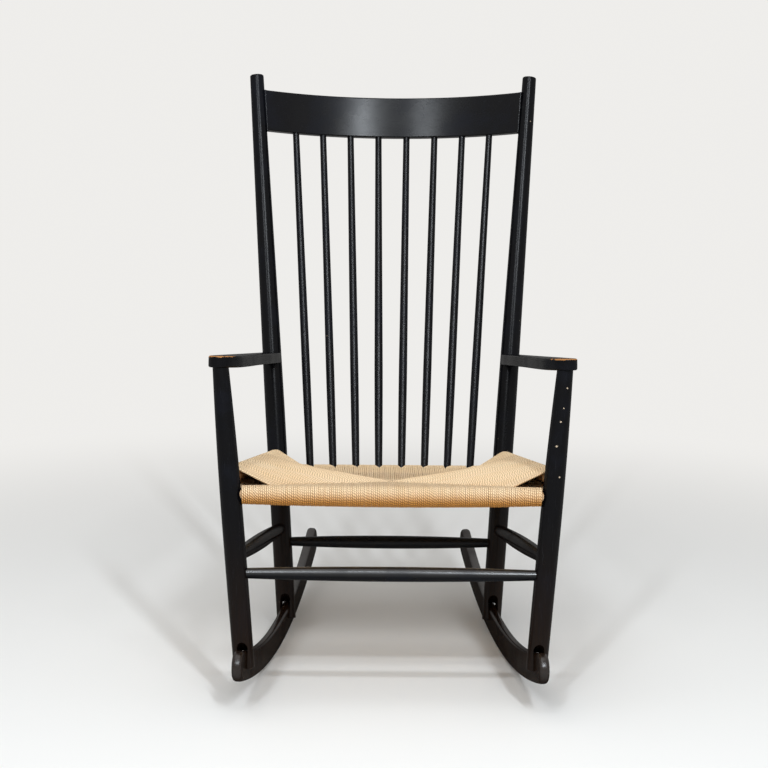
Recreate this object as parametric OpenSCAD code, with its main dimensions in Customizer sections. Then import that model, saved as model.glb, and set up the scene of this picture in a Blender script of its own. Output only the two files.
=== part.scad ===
// High-back rocking chair with a spindle back, round turned frame, curved rockers and a woven
// paper cord seat. Millimetres. X runs across the chair, the front faces -Y and +Z is up.
// The chair stands balanced: its rockers touch the floor under its centre of mass, at z = 0.

/* [Rockers] */
// Radius of the rocker's underside
rocker_radius = 1630; // [1540:10:1730]
// Radius of the rocker's top edge
rocker_top_radius = 1410; // [1350:10:1480]
// Depth of a rocker board at its shallowest place, from its underside to its top edge
rocker_depth = 47; // [42:1:54]
// Thickness of a rocker board
rocker_thick = 18; // [15:1:20]
// Angle at which the rockers draw together towards the back
rocker_toe_in = 6.3; // [4:0.1:8]
// Reach of the nose in front of the front leg's foot
nose_reach = 75; // [60:1:90]
// Reach of the tail behind the front leg's foot
tail_reach = 865; // [800:5:900]
// Distance from the front leg's foot back to the point where the rocker touches the floor
contact_back = 401; // [386:1:414]
// Distance from the front leg's foot back to the rocker's shallowest place
waist_back = 395; // [378:1:415]

/* [Front legs] */
// Half of the distance between the feet of the front legs
front_foot_half = 255; // [245:1:265]
// Outward splay of the front legs
front_splay = 4.7; // [3:0.1:6]
// Backward rake of the front legs
front_rake = 6.2; // [4:0.1:8]
// Diameter at the fork
front_foot_d = 36.6; // [34:0.2:40]
// Diameter at the thickest place
front_belly_d = 37.8; // [34:0.2:42]
// Diameter under the arm
front_top_d = 27.4; // [24:0.2:32]
// Diameter of the round tenon in the arm
arm_tenon_d = 17; // [12:0.5:20]

/* [Rear posts] */
// Distance from the front feet back to the feet of the rear posts
foot_spacing = 481; // [460:1:500]
// Outward splay of the rear posts
post_splay = 3.95; // [2:0.05:5]
// Backward rake of the rear posts
post_rake = 15; // [12:0.1:18]
// Diameter at the fork
post_foot_d = 36.8; // [33:0.2:39]
// Diameter at the thickest place
post_belly_d = 38.6; // [36:0.2:42]
// Diameter at the top
post_top_d = 27; // [23:0.2:31]
// Height of the whole chair
overall_height = 1070; // [1020:5:1100]

/* [Fork joints] */
// Height of the front leg's fork cheeks above the rocker's underside
front_cheek_rise = 23; // [15:1:28]
// Height of the rear post's fork cheeks above the rocker's underside
post_cheek_rise = 20.6; // [12:1:25]
// Open height above the rocker at the front of the front leg's fork
front_fork_gap = 16; // [12:1:24]
// Open height above the rocker at the front of the rear post's fork
post_fork_gap = 33; // [20:1:38]
// Diameter of the dowel that pins each fork to its rocker
dowel_d = 8; // [6:0.5:10]

/* [Seat frame] */
// Diameter of the round seat rails under the cord
rail_d = 27; // [24:0.5:30]
// Diameter of the seat rails' tenons
rail_tenon_d = 18; // [14:0.5:20]
// Height of the front rail's axis
front_rail_z = 374; // [360:1:380]
// Height of the side rails' axis at the front leg
side_rail_front_z = 406; // [400:1:420]
// Height of the side rails' axis at the rear post
side_rail_rear_z = 328; // [322:1:340]
// Height of the rear rail's axis
rear_rail_z = 296; // [284:1:300]
// Diameter of the seat's paper cord
cord_d = 3.3; // [3:0.1:3.6]
// Sag of the seat's centre below the line from front rail to rear rail
seat_sag = 10; // [4:1:16]
// Thickness of the woven seat at its centre
seat_thick = 16; // [15:1:22]
// Thickness of the woven layers above and below the hollow inside the seat
seat_wall = 6.6; // [5:0.2:7]

/* [Stretchers] */
// Height of the front stretcher
front_stretcher_z = 238; // [228:1:242]
// Height of the side stretchers at the front leg
side_stretcher_front_z = 266; // [263:1:284]
// Height of the side stretchers at the rear post
side_stretcher_rear_z = 194; // [190:1:208]
// Height of the rear stretcher
rear_stretcher_z = 168; // [156:1:170]
// Diameter of the front stretcher's ends
front_stretcher_end_d = 18.5; // [16:0.5:20]
// Diameter of the front stretcher's middle
front_stretcher_mid_d = 26.2; // [23:0.2:29]
// Diameter of the side stretchers' ends
side_stretcher_end_d = 20; // [17:0.5:21]
// Diameter of the side stretchers' middle
side_stretcher_mid_d = 29; // [25:0.2:31]
// Diameter of the rear stretcher's ends
rear_stretcher_end_d = 17.5; // [15:0.5:18]
// Diameter of the rear stretcher's middle
rear_stretcher_mid_d = 25.6; // [22:0.2:28]

/* [Arms] */
// Height of an arm's top face at its front end
arm_front_z = 616; // [600:1:640]
// Downward slope of the arms towards the back
arm_slope = 8.65; // [6:0.05:10]
// Reach of an arm's inner edge from its axis, at its widest place
arm_belly_in = 31.5; // [26:0.5:36]
// Reach of an arm's outer edge from its axis, at its widest place
arm_belly_out = 19; // [17:0.5:24]
// Reach of an arm's inner edge from its axis, at the rear
arm_rear_in = 21; // [18:0.5:24]
// Reach of an arm's outer edge from its axis, at the rear
arm_rear_out = 16.5; // [14:0.5:20]
// Distance from the front leg back to the widest place of an arm's inner edge
arm_belly_back = 60; // [40:5:100]
// Distance from the front leg back to where an arm's edges run straight
arm_waist_back = 360; // [300:10:400]
// Thickness of an arm
arm_thick = 20.5; // [18:0.5:24]
// Reach of an arm in front of the front leg's axis
arm_nose = 22; // [20:1:32]
// Diameter of the tenon that enters the rear post
arm_rear_tenon_d = 14; // [10:0.5:16]

/* [Crest rail] */
// Drop from the posts' tops to the crest board's lower edge
crest_drop = 112; // [104:1:140]
// Height of the crest board along the posts
crest_h = 81; // [68:1:86]
// Thickness of the crest board
crest_thick = 18; // [15:0.5:22]
// Depth of the crest board's curve at its middle
crest_sag = 65; // [45:1:75]
// Thickness of the crest board's end tenons
crest_tenon_thick = 9; // [7:0.5:10]
// Length by which the crest board's tenons are shorter than the board at each edge
crest_shoulder = 9; // [6:0.5:14]

/* [Spindles] */
// Number of spindles
spindle_count = 8;
// Distance between spindles at the rear rail
spindle_pitch_low = 44.8; // [42:0.2:46]
// Distance between spindles along the crest rail's curve
spindle_pitch_high = 57; // [54:0.5:58]
// Diameter of a spindle at its lower end
spindle_low_d = 14; // [12:0.2:15]
// Diameter of a spindle at its thickest place
spindle_mid_d = 16.6; // [15:0.2:18]
// Diameter of a spindle at its upper end
spindle_high_d = 12.8; // [11:0.2:14]
// Diameter of a spindle's lower tenon
spindle_low_tenon_d = 9.6; // [8:0.2:10]
// Diameter of a spindle's upper tenon
spindle_high_tenon_d = 8; // [6:0.2:9]
// Depth of a spindle's tenons in the crest rail and in the rear rail
spindle_tenon_len = 12; // [8:0.5:12]

/* [Fits] */
// Clearance round each tenon, dowel and board in its joint
joint_fit = 0.1; // [0.05:0.05:0.2]
// Space left at the bottom of each blind mortise
mortise_space = 0.5; // [0.3:0.1:1]
// Length by which a tenon passes the axis of the leg that holds it
tenon_past_axis = 3; // [0:0.5:4]

/* [Hidden] */
$fn = 96;

LEFT = -1;
RIGHT = 1;
over = 1;
arc_facets = 720;
cut_reach = 5 * rocker_depth;
dowel_inset = 0.6;
fork_bore_ease = 0.3;
cope_share = 0.37;
crest_play = 0.3;
crest_tenon_root = 4;
seat_play = 0.3;
spindle_shoulder_gap = 0.3;
mortise_reach = 1.2 * max(front_belly_d, post_belly_d);
lacquer = "#1d1c20";
cord_colour = "#dcbf92";
bare_wood = "#b07a45";

// Rockers: lengths run along the board from the front leg's foot, heights from the floor
toe_share = cos(rocker_toe_in);
function rocker_x(y) = front_foot_half - y * tan(rocker_toe_in);
function arc_rise(radius, run) = radius - sqrt(pow(radius, 2) - pow(run, 2));
function underside(run) = arc_rise(rocker_radius, run - contact_back);
function topside(run) = rocker_depth + arc_rise(rocker_top_radius, run - waist_back);
function board_slope(run) = asin((run - (contact_back + waist_back) / 2) / rocker_radius);
function half_depth(run) = (topside(run) - underside(run)) * cos(board_slope(run)) / 2;
function board_normal(run) = [-sin(board_slope(run)), cos(board_slope(run))];
function board_mid(run) = [run, (topside(run) + underside(run)) / 2];
nose_run = half_depth(-nose_reach) - nose_reach;
tail_run = tail_reach - half_depth(tail_reach);
body_mid_y = (tail_reach - nose_reach) / 2 * toe_share;

// Side frames: axis points of the right-hand front leg and rear post at a height z
post_run = foot_spacing / toe_share;
front_fork_z = (underside(0) + topside(0) + front_cheek_rise) / 2;
post_fork_z = (underside(post_run) + topside(post_run) + post_cheek_rise) / 2;
function leg_at(z) = [rocker_x(0) + (z - front_fork_z) * tan(front_splay),
    (z - front_fork_z) * tan(front_rake), z];
function post_at(z) = [rocker_x(foot_spacing) + (z - post_fork_z) * tan(post_splay),
    foot_spacing + (z - post_fork_z) * tan(post_rake), z];
function flip(p) = [-p.x, p.y, p.z];
leg_foot = leg_at(underside(0) + front_cheek_rise);
post_foot = post_at(underside(post_run) + post_cheek_rise);
top_edge = 2.5;
foot_edge = 1.5;
post_top = post_at(overall_height - (post_top_d / 2 - top_edge) * sin(post_rake));

// Radius of a turned piece that swells from its ends a, b to m at the share "peak" of its length
function swell(s, a, m, b, peak, power) =
    s < peak ? m + (a - m) * pow(1 - s / peak, 2)
             : m + (b - m) * pow((s - peak) / (1 - peak), power);
post_peak = 0.37;
post_power = 1.2;
leg_peak = 0.44;
leg_power = 2;
spindle_peak = 0.3;
spindle_power = 1;
turned_steps = 16;
function post_radius(s) =
    swell(s, post_foot_d, post_belly_d, post_top_d, post_peak, post_power) / 2;
function leg_radius(s) =
    swell(s, front_foot_d, front_belly_d, front_top_d, leg_peak, leg_power) / 2;
function post_share(z) = (z - post_foot.z) / (post_top.z - post_foot.z);

// Seat frame axis points on the right-hand side
front_rail_end = leg_at(front_rail_z);
rear_rail_end = post_at(rear_rail_z);
side_rail_front = leg_at(side_rail_front_z);
side_rail_rear = post_at(side_rail_rear_z);
rail_shoulder_gap = 1;
rail_taper = 12;

// Stretcher axis points on the right-hand side
front_stretcher_end = leg_at(front_stretcher_z);
rear_stretcher_end = post_at(rear_stretcher_z);
side_stretcher_front = leg_at(side_stretcher_front_z);
side_stretcher_rear = post_at(side_stretcher_rear_z);

// Arms: the top face passes through arm_front at the leg and falls by arm_slope towards the post
leg_arm = leg_at(arm_front_z);
function arm_top_z(y) = arm_front_z - (y - leg_arm.y + arm_nose) * tan(arm_slope);
function arm_meets_post(z, turns) =
    turns == 0 ? z : arm_meets_post(arm_top_z(post_at(z).y) - arm_thick / 2, turns - 1);
arm_rear = post_at(arm_meets_post(arm_front_z, 12));
arm_front = [leg_arm.x, leg_arm.y, arm_top_z(leg_arm.y) - arm_thick / 2 / cos(arm_slope)];
arm_len = norm(arm_rear - arm_front);
arm_corner = 8;
arm_steps = 14;
arm_tenon_share = 0.62;
leg_tenon_len = arm_thick * arm_tenon_share;
leg_top = leg_at(arm_front.z - arm_thick / 2 / cos(arm_slope));

// One edge of an arm seen from above: round at the nose, widest at belly_back, then drawn in
function arm_edge(belly, rear, belly_back, end) = concat(
    [for (i = [0:arm_steps]) let (a = 90 * i / arm_steps)
        [belly * sin(a), belly_back - (belly_back + arm_nose) * cos(a)]],
    [for (i = [1:arm_steps]) [mix(belly, rear, (1 - cos(180 * i / arm_steps)) / 2),
        mix(belly_back, arm_waist_back, i / arm_steps)]],
    [for (a = [0:30:90]) [rear - arm_corner * (1 - cos(a)), end - arm_corner * (1 - sin(a))]]);
function flip_edge(points) = [for (i = [len(points) - 1:-1:0]) [-points[i].x, points[i].y]];

// Crest rail: its own frame has x across, y back square to the posts and z up along them
crest_bottom_z = overall_height - crest_drop;
crest_low = post_at(crest_bottom_z);
crest_mid = post_at(crest_bottom_z + crest_h / 2 * cos(post_rake));
post_crest_r = post_radius(post_share(crest_mid.z));
crest_half_chord = crest_mid.x - post_crest_r;
crest_radius = (pow(crest_half_chord, 2) + pow(crest_sag, 2)) / (2 * crest_sag);
crest_centre_y = crest_sag - crest_radius;
function crest_point(arc, up) = let (a = arc / crest_radius * 180 / PI,
    cx = crest_radius * sin(a), cy = crest_centre_y + crest_radius * cos(a))
    [cx, crest_low.y + cy * cos(post_rake) + up * sin(post_rake),
    crest_low.z - cy * sin(post_rake) + up * cos(post_rake)];

// Spindles run from the rear rail's axis to a point inside the crest rail's lower edge
function spindle_offset(i) = i - (spindle_count + 1) / 2;
function spindle_foot(i) =
    [spindle_offset(i) * spindle_pitch_low, rear_rail_end.y, rear_rail_z];
function spindle_head(i) = crest_point(spindle_offset(i) * spindle_pitch_high, spindle_tenon_len);

// Woven seat: heights of its top and bottom skins over the seat frame
wrap_r = rail_d / 2 + cord_d;
seat_front_y = front_rail_end.y;
seat_rear_y = rear_rail_end.y;
seat_mid_y = (seat_front_y + seat_rear_y) / 2;
seat_mid_top = (front_rail_z + rear_rail_z) / 2 + wrap_r - seat_sag;
seat_mid_low = seat_mid_top - seat_thick;
side_run = side_rail_rear.y - side_rail_front.y;
function mix(a, b, t) = a + (b - a) * t;
function side_share(y) = (y - side_rail_front.y) / side_run;
function side_x(y) = mix(side_rail_front.x, side_rail_rear.x, side_share(y));
function side_z(y) = mix(side_rail_front.z, side_rail_rear.z, side_share(y));
function inward(x, y) = max(0, 1 - abs(x) / side_x(y));
function lengthways(y) = max(0, y < seat_mid_y
    ? (y - seat_front_y) / (seat_mid_y - seat_front_y)
    : (seat_rear_y - y) / (seat_rear_y - seat_mid_y));
// The four panels are ruled from their rail to the diagonals, which meet at the seat's centre
function ruled(x, y, side, end, mid) = let (p = inward(x, y), q = lengthways(y))
    p <= q ? mix(side, mix(end, mid, q), q == 0 ? 0 : p / q)
           : mix(end, mix(end, mid, p), q / p);
function bulge(d) = abs(d) >= wrap_r ? 0 : sqrt(pow(wrap_r, 2) - pow(d, 2));
function end_z(y) = y < seat_mid_y ? front_rail_z : rear_rail_z;
function end_y(y) = y < seat_mid_y ? seat_front_y : seat_rear_y;
function side_gap(x, y) = side_x(y) - abs(x);
function skin(x, y, up) = let (
    web = ruled(x, y, side_z(y) + up * wrap_r, end_z(y) + up * wrap_r,
        up > 0 ? seat_mid_top : seat_mid_low),
    side = side_z(y) + up * bulge(side_gap(x, y)),
    end = end_z(y) + up * bulge(y - end_y(y)),
    near_side = abs(side_gap(x, y)) < wrap_r,
    near_end = abs(y - end_y(y)) < wrap_r)
    up > 0 ? max(web, near_side ? side : web, near_end ? end : web)
           : min(web, near_side ? side : web, near_end ? end : web);

// Grid of the seat's skins: stations across and along, with the rails' outer halves rounded off
edge_steps = 4;
field_steps = 14;
side_steps = field_steps + 2 * edge_steps;
function station(i) = i < edge_steps ? -sin(90 * (edge_steps - i) / edge_steps)
    : i > edge_steps + field_steps ? sin(90 * (i - edge_steps - field_steps) / edge_steps)
    : 0;
function share(i) = min(1, max(0, (i - edge_steps) / field_steps));
function seat_point(i, j, up) = let (
    a = station(i),
    b = station(j),
    out = max(abs(a), abs(b)),
    k = out == 0 ? 0 : wrap_r * out / norm([a, b]),
    y0 = mix(seat_front_y, seat_rear_y, share(j)),
    x0 = mix(-side_x(y0), side_x(y0), share(i)),
    rail_z = a != 0 ? side_z(y0) : end_z(y0),
    z = out == 0 ? skin(x0, y0, up) : rail_z + up * wrap_r * sqrt(1 - pow(out, 2)))
    [x0 + a * k, y0 + b * k, z];
seat_side = side_steps + 1;
seat_layer = seat_side * seat_side;
function seat_index(i, j, layer) = layer * seat_layer + j * seat_side + i;

function on_rim(i, j) = i == 0 || i == side_steps || j == 0 || j == side_steps;
function low_index(i, j) = seat_index(i, j, on_rim(i, j) ? 0 : 1);
seat_points = [for (up = [1, -1]) for (j = [0:side_steps]) for (i = [0:side_steps])
    seat_point(i, j, up)];
seat_faces = [for (j = [0:side_steps - 1]) for (i = [0:side_steps - 1]) each [
    [seat_index(i, j, 0), seat_index(i, j + 1, 0), seat_index(i + 1, j + 1, 0)],
    [seat_index(i, j, 0), seat_index(i + 1, j + 1, 0), seat_index(i + 1, j, 0)],
    [low_index(i, j), low_index(i + 1, j + 1), low_index(i, j + 1)],
    [low_index(i, j), low_index(i + 1, j), low_index(i + 1, j + 1)]]];

// The hollow between the woven top and bottom skins, inside the four rails
hollow_side = field_steps + 1;
hollow_layer = hollow_side * hollow_side;
function hollow_point(i, j, up) = let (
    y = mix(seat_front_y, seat_rear_y, j / field_steps),
    x = mix(-side_x(y), side_x(y), i / field_steps))
    [x, y, skin(x, y, up) - up * seat_wall];
function hollow_index(i, j, layer) = layer * hollow_layer + j * hollow_side + i;
hollow_points = [for (up = [1, -1]) for (j = [0:field_steps]) for (i = [0:field_steps])
    hollow_point(i, j, up)];
hollow_faces = concat(
    [for (j = [0:field_steps - 1]) for (i = [0:field_steps - 1]) each [
        [hollow_index(i, j, 0), hollow_index(i, j + 1, 0), hollow_index(i + 1, j + 1, 0)],
        [hollow_index(i, j, 0), hollow_index(i + 1, j + 1, 0), hollow_index(i + 1, j, 0)],
        [hollow_index(i, j, 1), hollow_index(i + 1, j + 1, 1), hollow_index(i, j + 1, 1)],
        [hollow_index(i, j, 1), hollow_index(i + 1, j, 1), hollow_index(i + 1, j + 1, 1)]]],
    [for (j = [0:field_steps - 1]) each [
        [hollow_index(0, j, 0), hollow_index(0, j, 1), hollow_index(0, j + 1, 1)],
        [hollow_index(0, j, 0), hollow_index(0, j + 1, 1), hollow_index(0, j + 1, 0)],
        [hollow_index(field_steps, j, 0), hollow_index(field_steps, j + 1, 1),
            hollow_index(field_steps, j, 1)],
        [hollow_index(field_steps, j, 0), hollow_index(field_steps, j + 1, 0),
            hollow_index(field_steps, j + 1, 1)]]],
    [for (i = [0:field_steps - 1]) each [
        [hollow_index(i, 0, 0), hollow_index(i + 1, 0, 1), hollow_index(i, 0, 1)],
        [hollow_index(i, 0, 0), hollow_index(i + 1, 0, 0), hollow_index(i + 1, 0, 1)],
        [hollow_index(i, field_steps, 0), hollow_index(i, field_steps, 1),
            hollow_index(i + 1, field_steps, 1)],
        [hollow_index(i, field_steps, 0), hollow_index(i + 1, field_steps, 1),
            hollow_index(i + 1, field_steps, 0)]]]);

module from_foot() {
    translate([0, -body_mid_y, 0]) children();
}

module on_side(side) {
    from_foot() {
        if (side == LEFT) mirror([1, 0, 0]) children();
        else children();
    }
}

// Turns the children's z axis from point p towards point q
module along(p, q) {
    d = q - p;
    translate(p) rotate([0, acos(d.z / norm(d)), atan2(d.y, d.x)]) children();
}

// The rocker's own frame: x across the board, y along it, z up
module at_rocker() {
    translate([front_foot_half, 0, 0]) rotate([0, 0, rocker_toe_in]) children();
}

module across(d, len) {
    rotate([0, 90, 0]) cylinder(d = d, h = len, center = true);
}

module turned(len, radii, foot_bevel, top_bevel) {
    last = turned_steps;
    rotate_extrude() polygon(concat(
        [[0, 0], [radii[0] - foot_bevel, 0], [radii[0], foot_bevel]],
        [for (i = [1:last - 1]) [radii[i], len * i / last]],
        [[radii[last], len - top_bevel], [radii[last] - top_bevel, len], [0, len]]));
}

// A round bar from axis point p to axis point q, straight at its ends and swelling between them
module bar(p, q, end_d, mid_d, end_run) {
    len = norm(q - p) + 2 * tenon_past_axis;
    run = len - 2 * end_run;
    step = run / turned_steps;
    along(p, q) translate([0, 0, -tenon_past_axis]) rotate_extrude() polygon(concat(
        [[0, 0], [end_d / 2, 0]],
        [for (i = [0:turned_steps]) [end_d / 2 + (mid_d - end_d) / 2
            * (1 - pow(2 * i / turned_steps - 1, 2)), end_run + i * step]],
        [[end_d / 2, len], [0, len]]));
}

// The hole that holds the end of a bar of diameter d, from axis point p towards q
module mortise(p, q, d) {
    along(p, q) translate([0, 0, -tenon_past_axis - mortise_space])
        cylinder(d = d + 2 * joint_fit, h = tenon_past_axis + mortise_space + mortise_reach);
}

// A seat rail: a plain round bar with tapered shoulders and a round tenon at each end
module seat_rail(p, q, p_r, q_r) {
    len = norm(q - p);
    low = p_r + rail_shoulder_gap;
    high = len - q_r - rail_shoulder_gap;
    along(p, q) rotate_extrude() polygon([[0, -tenon_past_axis],
        [rail_tenon_d / 2, -tenon_past_axis], [rail_tenon_d / 2, low],
        [rail_d / 2, low + rail_taper], [rail_d / 2, high - rail_taper],
        [rail_tenon_d / 2, high], [rail_tenon_d / 2, len + tenon_past_axis],
        [0, len + tenon_past_axis]]);
}

// Everything of the rocker's section that lies between its two end radii
module between_ends() {
    low = board_mid(nose_run);
    high = board_mid(tail_run);
    rotate([90, 0, 90]) linear_extrude(rocker_thick + over, center = true) polygon([
        low - cut_reach * board_normal(nose_run), high - cut_reach * board_normal(tail_run),
        high + cut_reach * board_normal(tail_run), low + cut_reach * board_normal(nose_run)]);
}

// Centre of the arc that the rocker's top edge follows
module at_topside() {
    translate([0, waist_back, rocker_depth + rocker_top_radius]) children();
}

module rocker_board() {
    intersection() {
        difference() {
            translate([0, contact_back, rocker_radius])
                across(2 * rocker_radius, rocker_thick, $fn = arc_facets);
            at_topside() across(2 * rocker_top_radius, rocker_thick + over, $fn = arc_facets);
        }
        between_ends();
    }
    for (run = [nose_run, tail_run])
        translate([0, board_mid(run).x, board_mid(run).y])
            across(2 * half_depth(run), rocker_thick);
}

module fork_dowel(z, run, leg_d, slack) {
    translate([0, run, z]) across(dowel_d + 2 * slack, leg_d - 2 * dowel_inset + 2 * slack);
}

module front_dowel(slack) {
    at_rocker() fork_dowel(front_fork_z, 0, front_foot_d, slack);
}

module post_dowel(slack) {
    at_rocker() fork_dowel(post_fork_z, post_run, post_foot_d, slack);
}

// The slot of a fork: room for the rocker, which ends in a round bore, a little wider than the
// slot, that enters the leg's front face above the rocker and slopes down to the rocker's top edge
// at the back
module fork_slot(run, leg_d, gap) {
    slot = rocker_thick + 2 * joint_fit;
    front = run - leg_d / 2;
    back = run + leg_d / 2;
    front_crown = topside(front) + gap;
    back_crown = topside(back) + joint_fit;
    cut_len = norm([leg_d, front_crown - back_crown]);
    bore_r = slot / 2 + fork_bore_ease;
    crown_r = bore_r * cut_len / leg_d;
    at_rocker() {
        difference() {
            translate([-slot / 2, run - leg_d, -over]) cube([slot, 2 * leg_d, cut_reach]);
            at_topside() across(2 * (rocker_top_radius - joint_fit), slot + over,
                $fn = arc_facets);
        }
        along([0, front, front_crown - crown_r], [0, back, back_crown - crown_r])
            translate([0, 0, -cut_len]) {
                cylinder(r = bore_r, h = 3 * cut_len);
                translate([0, -slot / 2, 0]) cube([leg_d / 2, slot, 3 * cut_len]);
            }
    }
}

module rocker(side) {
    color(lacquer) on_side(side) difference() {
        at_rocker() rocker_board();
        front_dowel(joint_fit);
        post_dowel(joint_fit);
    }
}

module rocker_dowels() {
    color(lacquer) for (side = [LEFT, RIGHT]) on_side(side) {
        front_dowel(0);
        post_dowel(0);
    }
}

// The arm's own frame: x across, y back along the arm, z square to its top face
module at_arm() {
    d = arm_rear - arm_front;
    translate(arm_front) rotate([asin(d.z / norm(d)), 0, atan2(-d.x, d.y)]) children();
}

module leg_blank() {
    leg_len = norm(leg_top - leg_foot);
    difference() {
        along(leg_foot, leg_top) turned(leg_len + arm_thick / 2, [for (i = [0:turned_steps])
            leg_radius(i / turned_steps)], foot_edge, 0);
        at_arm() translate([-front_foot_half, -front_foot_half, -arm_thick / 2])
            cube([2 * front_foot_half, 2 * front_foot_half, 2 * arm_thick]);
    }
    along(leg_top, leg_foot) translate([0, 0, -leg_tenon_len])
        cylinder(d = arm_tenon_d, h = 2 * leg_tenon_len);
}

module front_leg(side) {
    color(lacquer) on_side(side) difference() {
        leg_blank();
        mortise(front_rail_end, flip(front_rail_end), rail_tenon_d);
        mortise(side_rail_front, side_rail_rear, rail_tenon_d);
        mortise(front_stretcher_end, flip(front_stretcher_end), front_stretcher_end_d);
        mortise(side_stretcher_front, side_stretcher_rear, side_stretcher_end_d);
        fork_slot(0, front_foot_d, front_fork_gap);
        front_dowel(joint_fit);
    }
}

module post_blank() {
    along(post_foot, post_top) turned(norm(post_top - post_foot), [for (i = [0:turned_steps])
        post_radius(i / turned_steps)], foot_edge, top_edge);
}

module rear_post(side) {
    color(lacquer) on_side(side) difference() {
        post_blank();
        mortise(rear_rail_end, flip(rear_rail_end), rail_tenon_d);
        mortise(side_rail_rear, side_rail_front, rail_tenon_d);
        mortise(rear_stretcher_end, flip(rear_stretcher_end), rear_stretcher_end_d);
        mortise(side_stretcher_rear, side_stretcher_front, side_stretcher_end_d);
        mortise(arm_rear, arm_front, arm_rear_tenon_d);
        at_crest() crest_tenons(joint_fit);
        fork_slot(post_run, post_foot_d, post_fork_gap);
        post_dowel(joint_fit);
    }
}

module armrest(side) {
    post_d = 2 * post_radius(post_share(arm_rear.z - arm_thick));
    end = arm_len - post_d * cope_share;
    color(lacquer) on_side(side) difference() {
        union() {
            difference() {
                at_arm() linear_extrude(arm_thick, center = true) polygon(concat(
                    arm_edge(arm_belly_out, arm_rear_out, 0, end),
                    flip_edge(arm_edge(arm_belly_in, arm_rear_in, arm_belly_back, end))));
                along(arm_rear, post_top) cylinder(d = post_d + 2 * joint_fit,
                    h = 4 * arm_thick, center = true);
            }
            along(arm_rear, arm_front) translate([0, 0, -tenon_past_axis])
                cylinder(d = arm_rear_tenon_d, h = tenon_past_axis + post_d);
        }
        along(leg_top, leg_foot) translate([0, 0, -leg_tenon_len - mortise_space])
            cylinder(d = arm_tenon_d + 2 * joint_fit, h = 3 * leg_tenon_len);
    }
}

// The crest rail's own frame: x across, y back square to the posts, z up along them
module at_crest() {
    translate([0, crest_low.y, crest_low.z]) rotate([-post_rake, 0, 0]) children();
}

// A prism between the two posts that stops at a distance inset before their axes
module between_posts(inset) {
    crest_high = post_at(crest_bottom_z + crest_h * cos(post_rake));
    rotate([90, 0, 0]) linear_extrude(4 * crest_sag, center = true) polygon([
        [inset - crest_low.x, 0], [crest_low.x - inset, 0],
        [crest_high.x - inset, crest_h], [inset - crest_high.x, crest_h]]);
}

module crest_tenons(slack) {
    thick = crest_tenon_thick + 2 * slack;
    intersection() {
        difference() {
            between_posts(-tenon_past_axis - slack * mortise_space / joint_fit);
            between_posts(post_crest_r + crest_tenon_root);
        }
        translate([-crest_low.x - crest_h, -thick / 2, crest_shoulder - slack])
            cube([2 * (crest_low.x + crest_h), thick, crest_h - 2 * crest_shoulder + 2 * slack]);
    }
}

module crest_rail() {
    color(lacquer) from_foot() difference() {
        union() {
            difference() {
                at_crest() intersection() {
                    translate([0, crest_centre_y, 0]) difference() {
                        cylinder(r = crest_radius + crest_thick / 2, h = crest_h,
                            $fn = arc_facets);
                        translate([0, 0, -over]) cylinder(r = crest_radius - crest_thick / 2,
                            h = crest_h + 2 * over, $fn = arc_facets);
                    }
                    between_posts(post_crest_r * cope_share * 2);
                    translate([-2 * crest_radius, -crest_h, -over])
                        cube([4 * crest_radius, 2 * crest_radius, crest_h + 2 * over]);
                }
                for (p = [[crest_low, post_top], [flip(crest_low), flip(post_top)]])
                    along(p[0], p[1]) cylinder(r = post_crest_r + joint_fit + crest_play,
                        h = 2 * crest_h, center = true);
            }
            at_crest() crest_tenons(0);
        }
        for (i = [1:spindle_count]) along(spindle_head(i), spindle_foot(i))
            translate([0, 0, -mortise_space]) cylinder(
                d = spindle_high_tenon_d + 2 * joint_fit, h = 2 * spindle_tenon_len);
    }
}

module spindle(i) {
    len = norm(spindle_head(i) - spindle_foot(i));
    body_low = rail_d / 2 + rail_shoulder_gap;
    body_high = len - spindle_tenon_len - spindle_shoulder_gap;
    color(lacquer) from_foot() along(spindle_foot(i), spindle_head(i))
        rotate_extrude() polygon(concat([[0, rail_d / 2 - spindle_tenon_len],
            [spindle_low_tenon_d / 2, rail_d / 2 - spindle_tenon_len],
            [spindle_low_tenon_d / 2, body_low]],
            [for (k = [0:turned_steps]) let (s = k / turned_steps) [swell(s, spindle_low_d,
                spindle_mid_d, spindle_high_d, spindle_peak, spindle_power) / 2,
                mix(body_low, body_high, s)]],
            [[spindle_high_tenon_d / 2, body_high], [spindle_high_tenon_d / 2, len], [0, len]]));
}

module front_stretcher() {
    color(lacquer) from_foot() bar(flip(front_stretcher_end), front_stretcher_end,
        front_stretcher_end_d, front_stretcher_mid_d, front_belly_d / 2 + tenon_past_axis);
}

module rear_stretcher() {
    color(lacquer) from_foot() bar(flip(rear_stretcher_end), rear_stretcher_end,
        rear_stretcher_end_d, rear_stretcher_mid_d, post_belly_d / 2 + tenon_past_axis);
}

module side_stretcher(side) {
    color(lacquer) on_side(side) bar(side_stretcher_front, side_stretcher_rear,
        side_stretcher_end_d, side_stretcher_mid_d, front_belly_d / 2 + tenon_past_axis);
}

module seat_rail_front() {
    color(bare_wood) from_foot() seat_rail(flip(front_rail_end), front_rail_end,
        front_belly_d / 2, front_belly_d / 2);
}

module seat_rail_rear() {
    color(bare_wood) from_foot() difference() {
        seat_rail(flip(rear_rail_end), rear_rail_end, post_belly_d / 2, post_belly_d / 2);
        for (i = [1:spindle_count]) along(spindle_foot(i), spindle_head(i))
            translate([0, 0, rail_d / 2 - spindle_tenon_len - mortise_space])
                cylinder(d = spindle_low_tenon_d + 2 * joint_fit, h = rail_d);
    }
}

module seat_rail_side(side) {
    color(bare_wood) on_side(side) seat_rail(side_rail_front, side_rail_rear,
        front_belly_d / 2, post_belly_d / 2);
}

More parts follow.
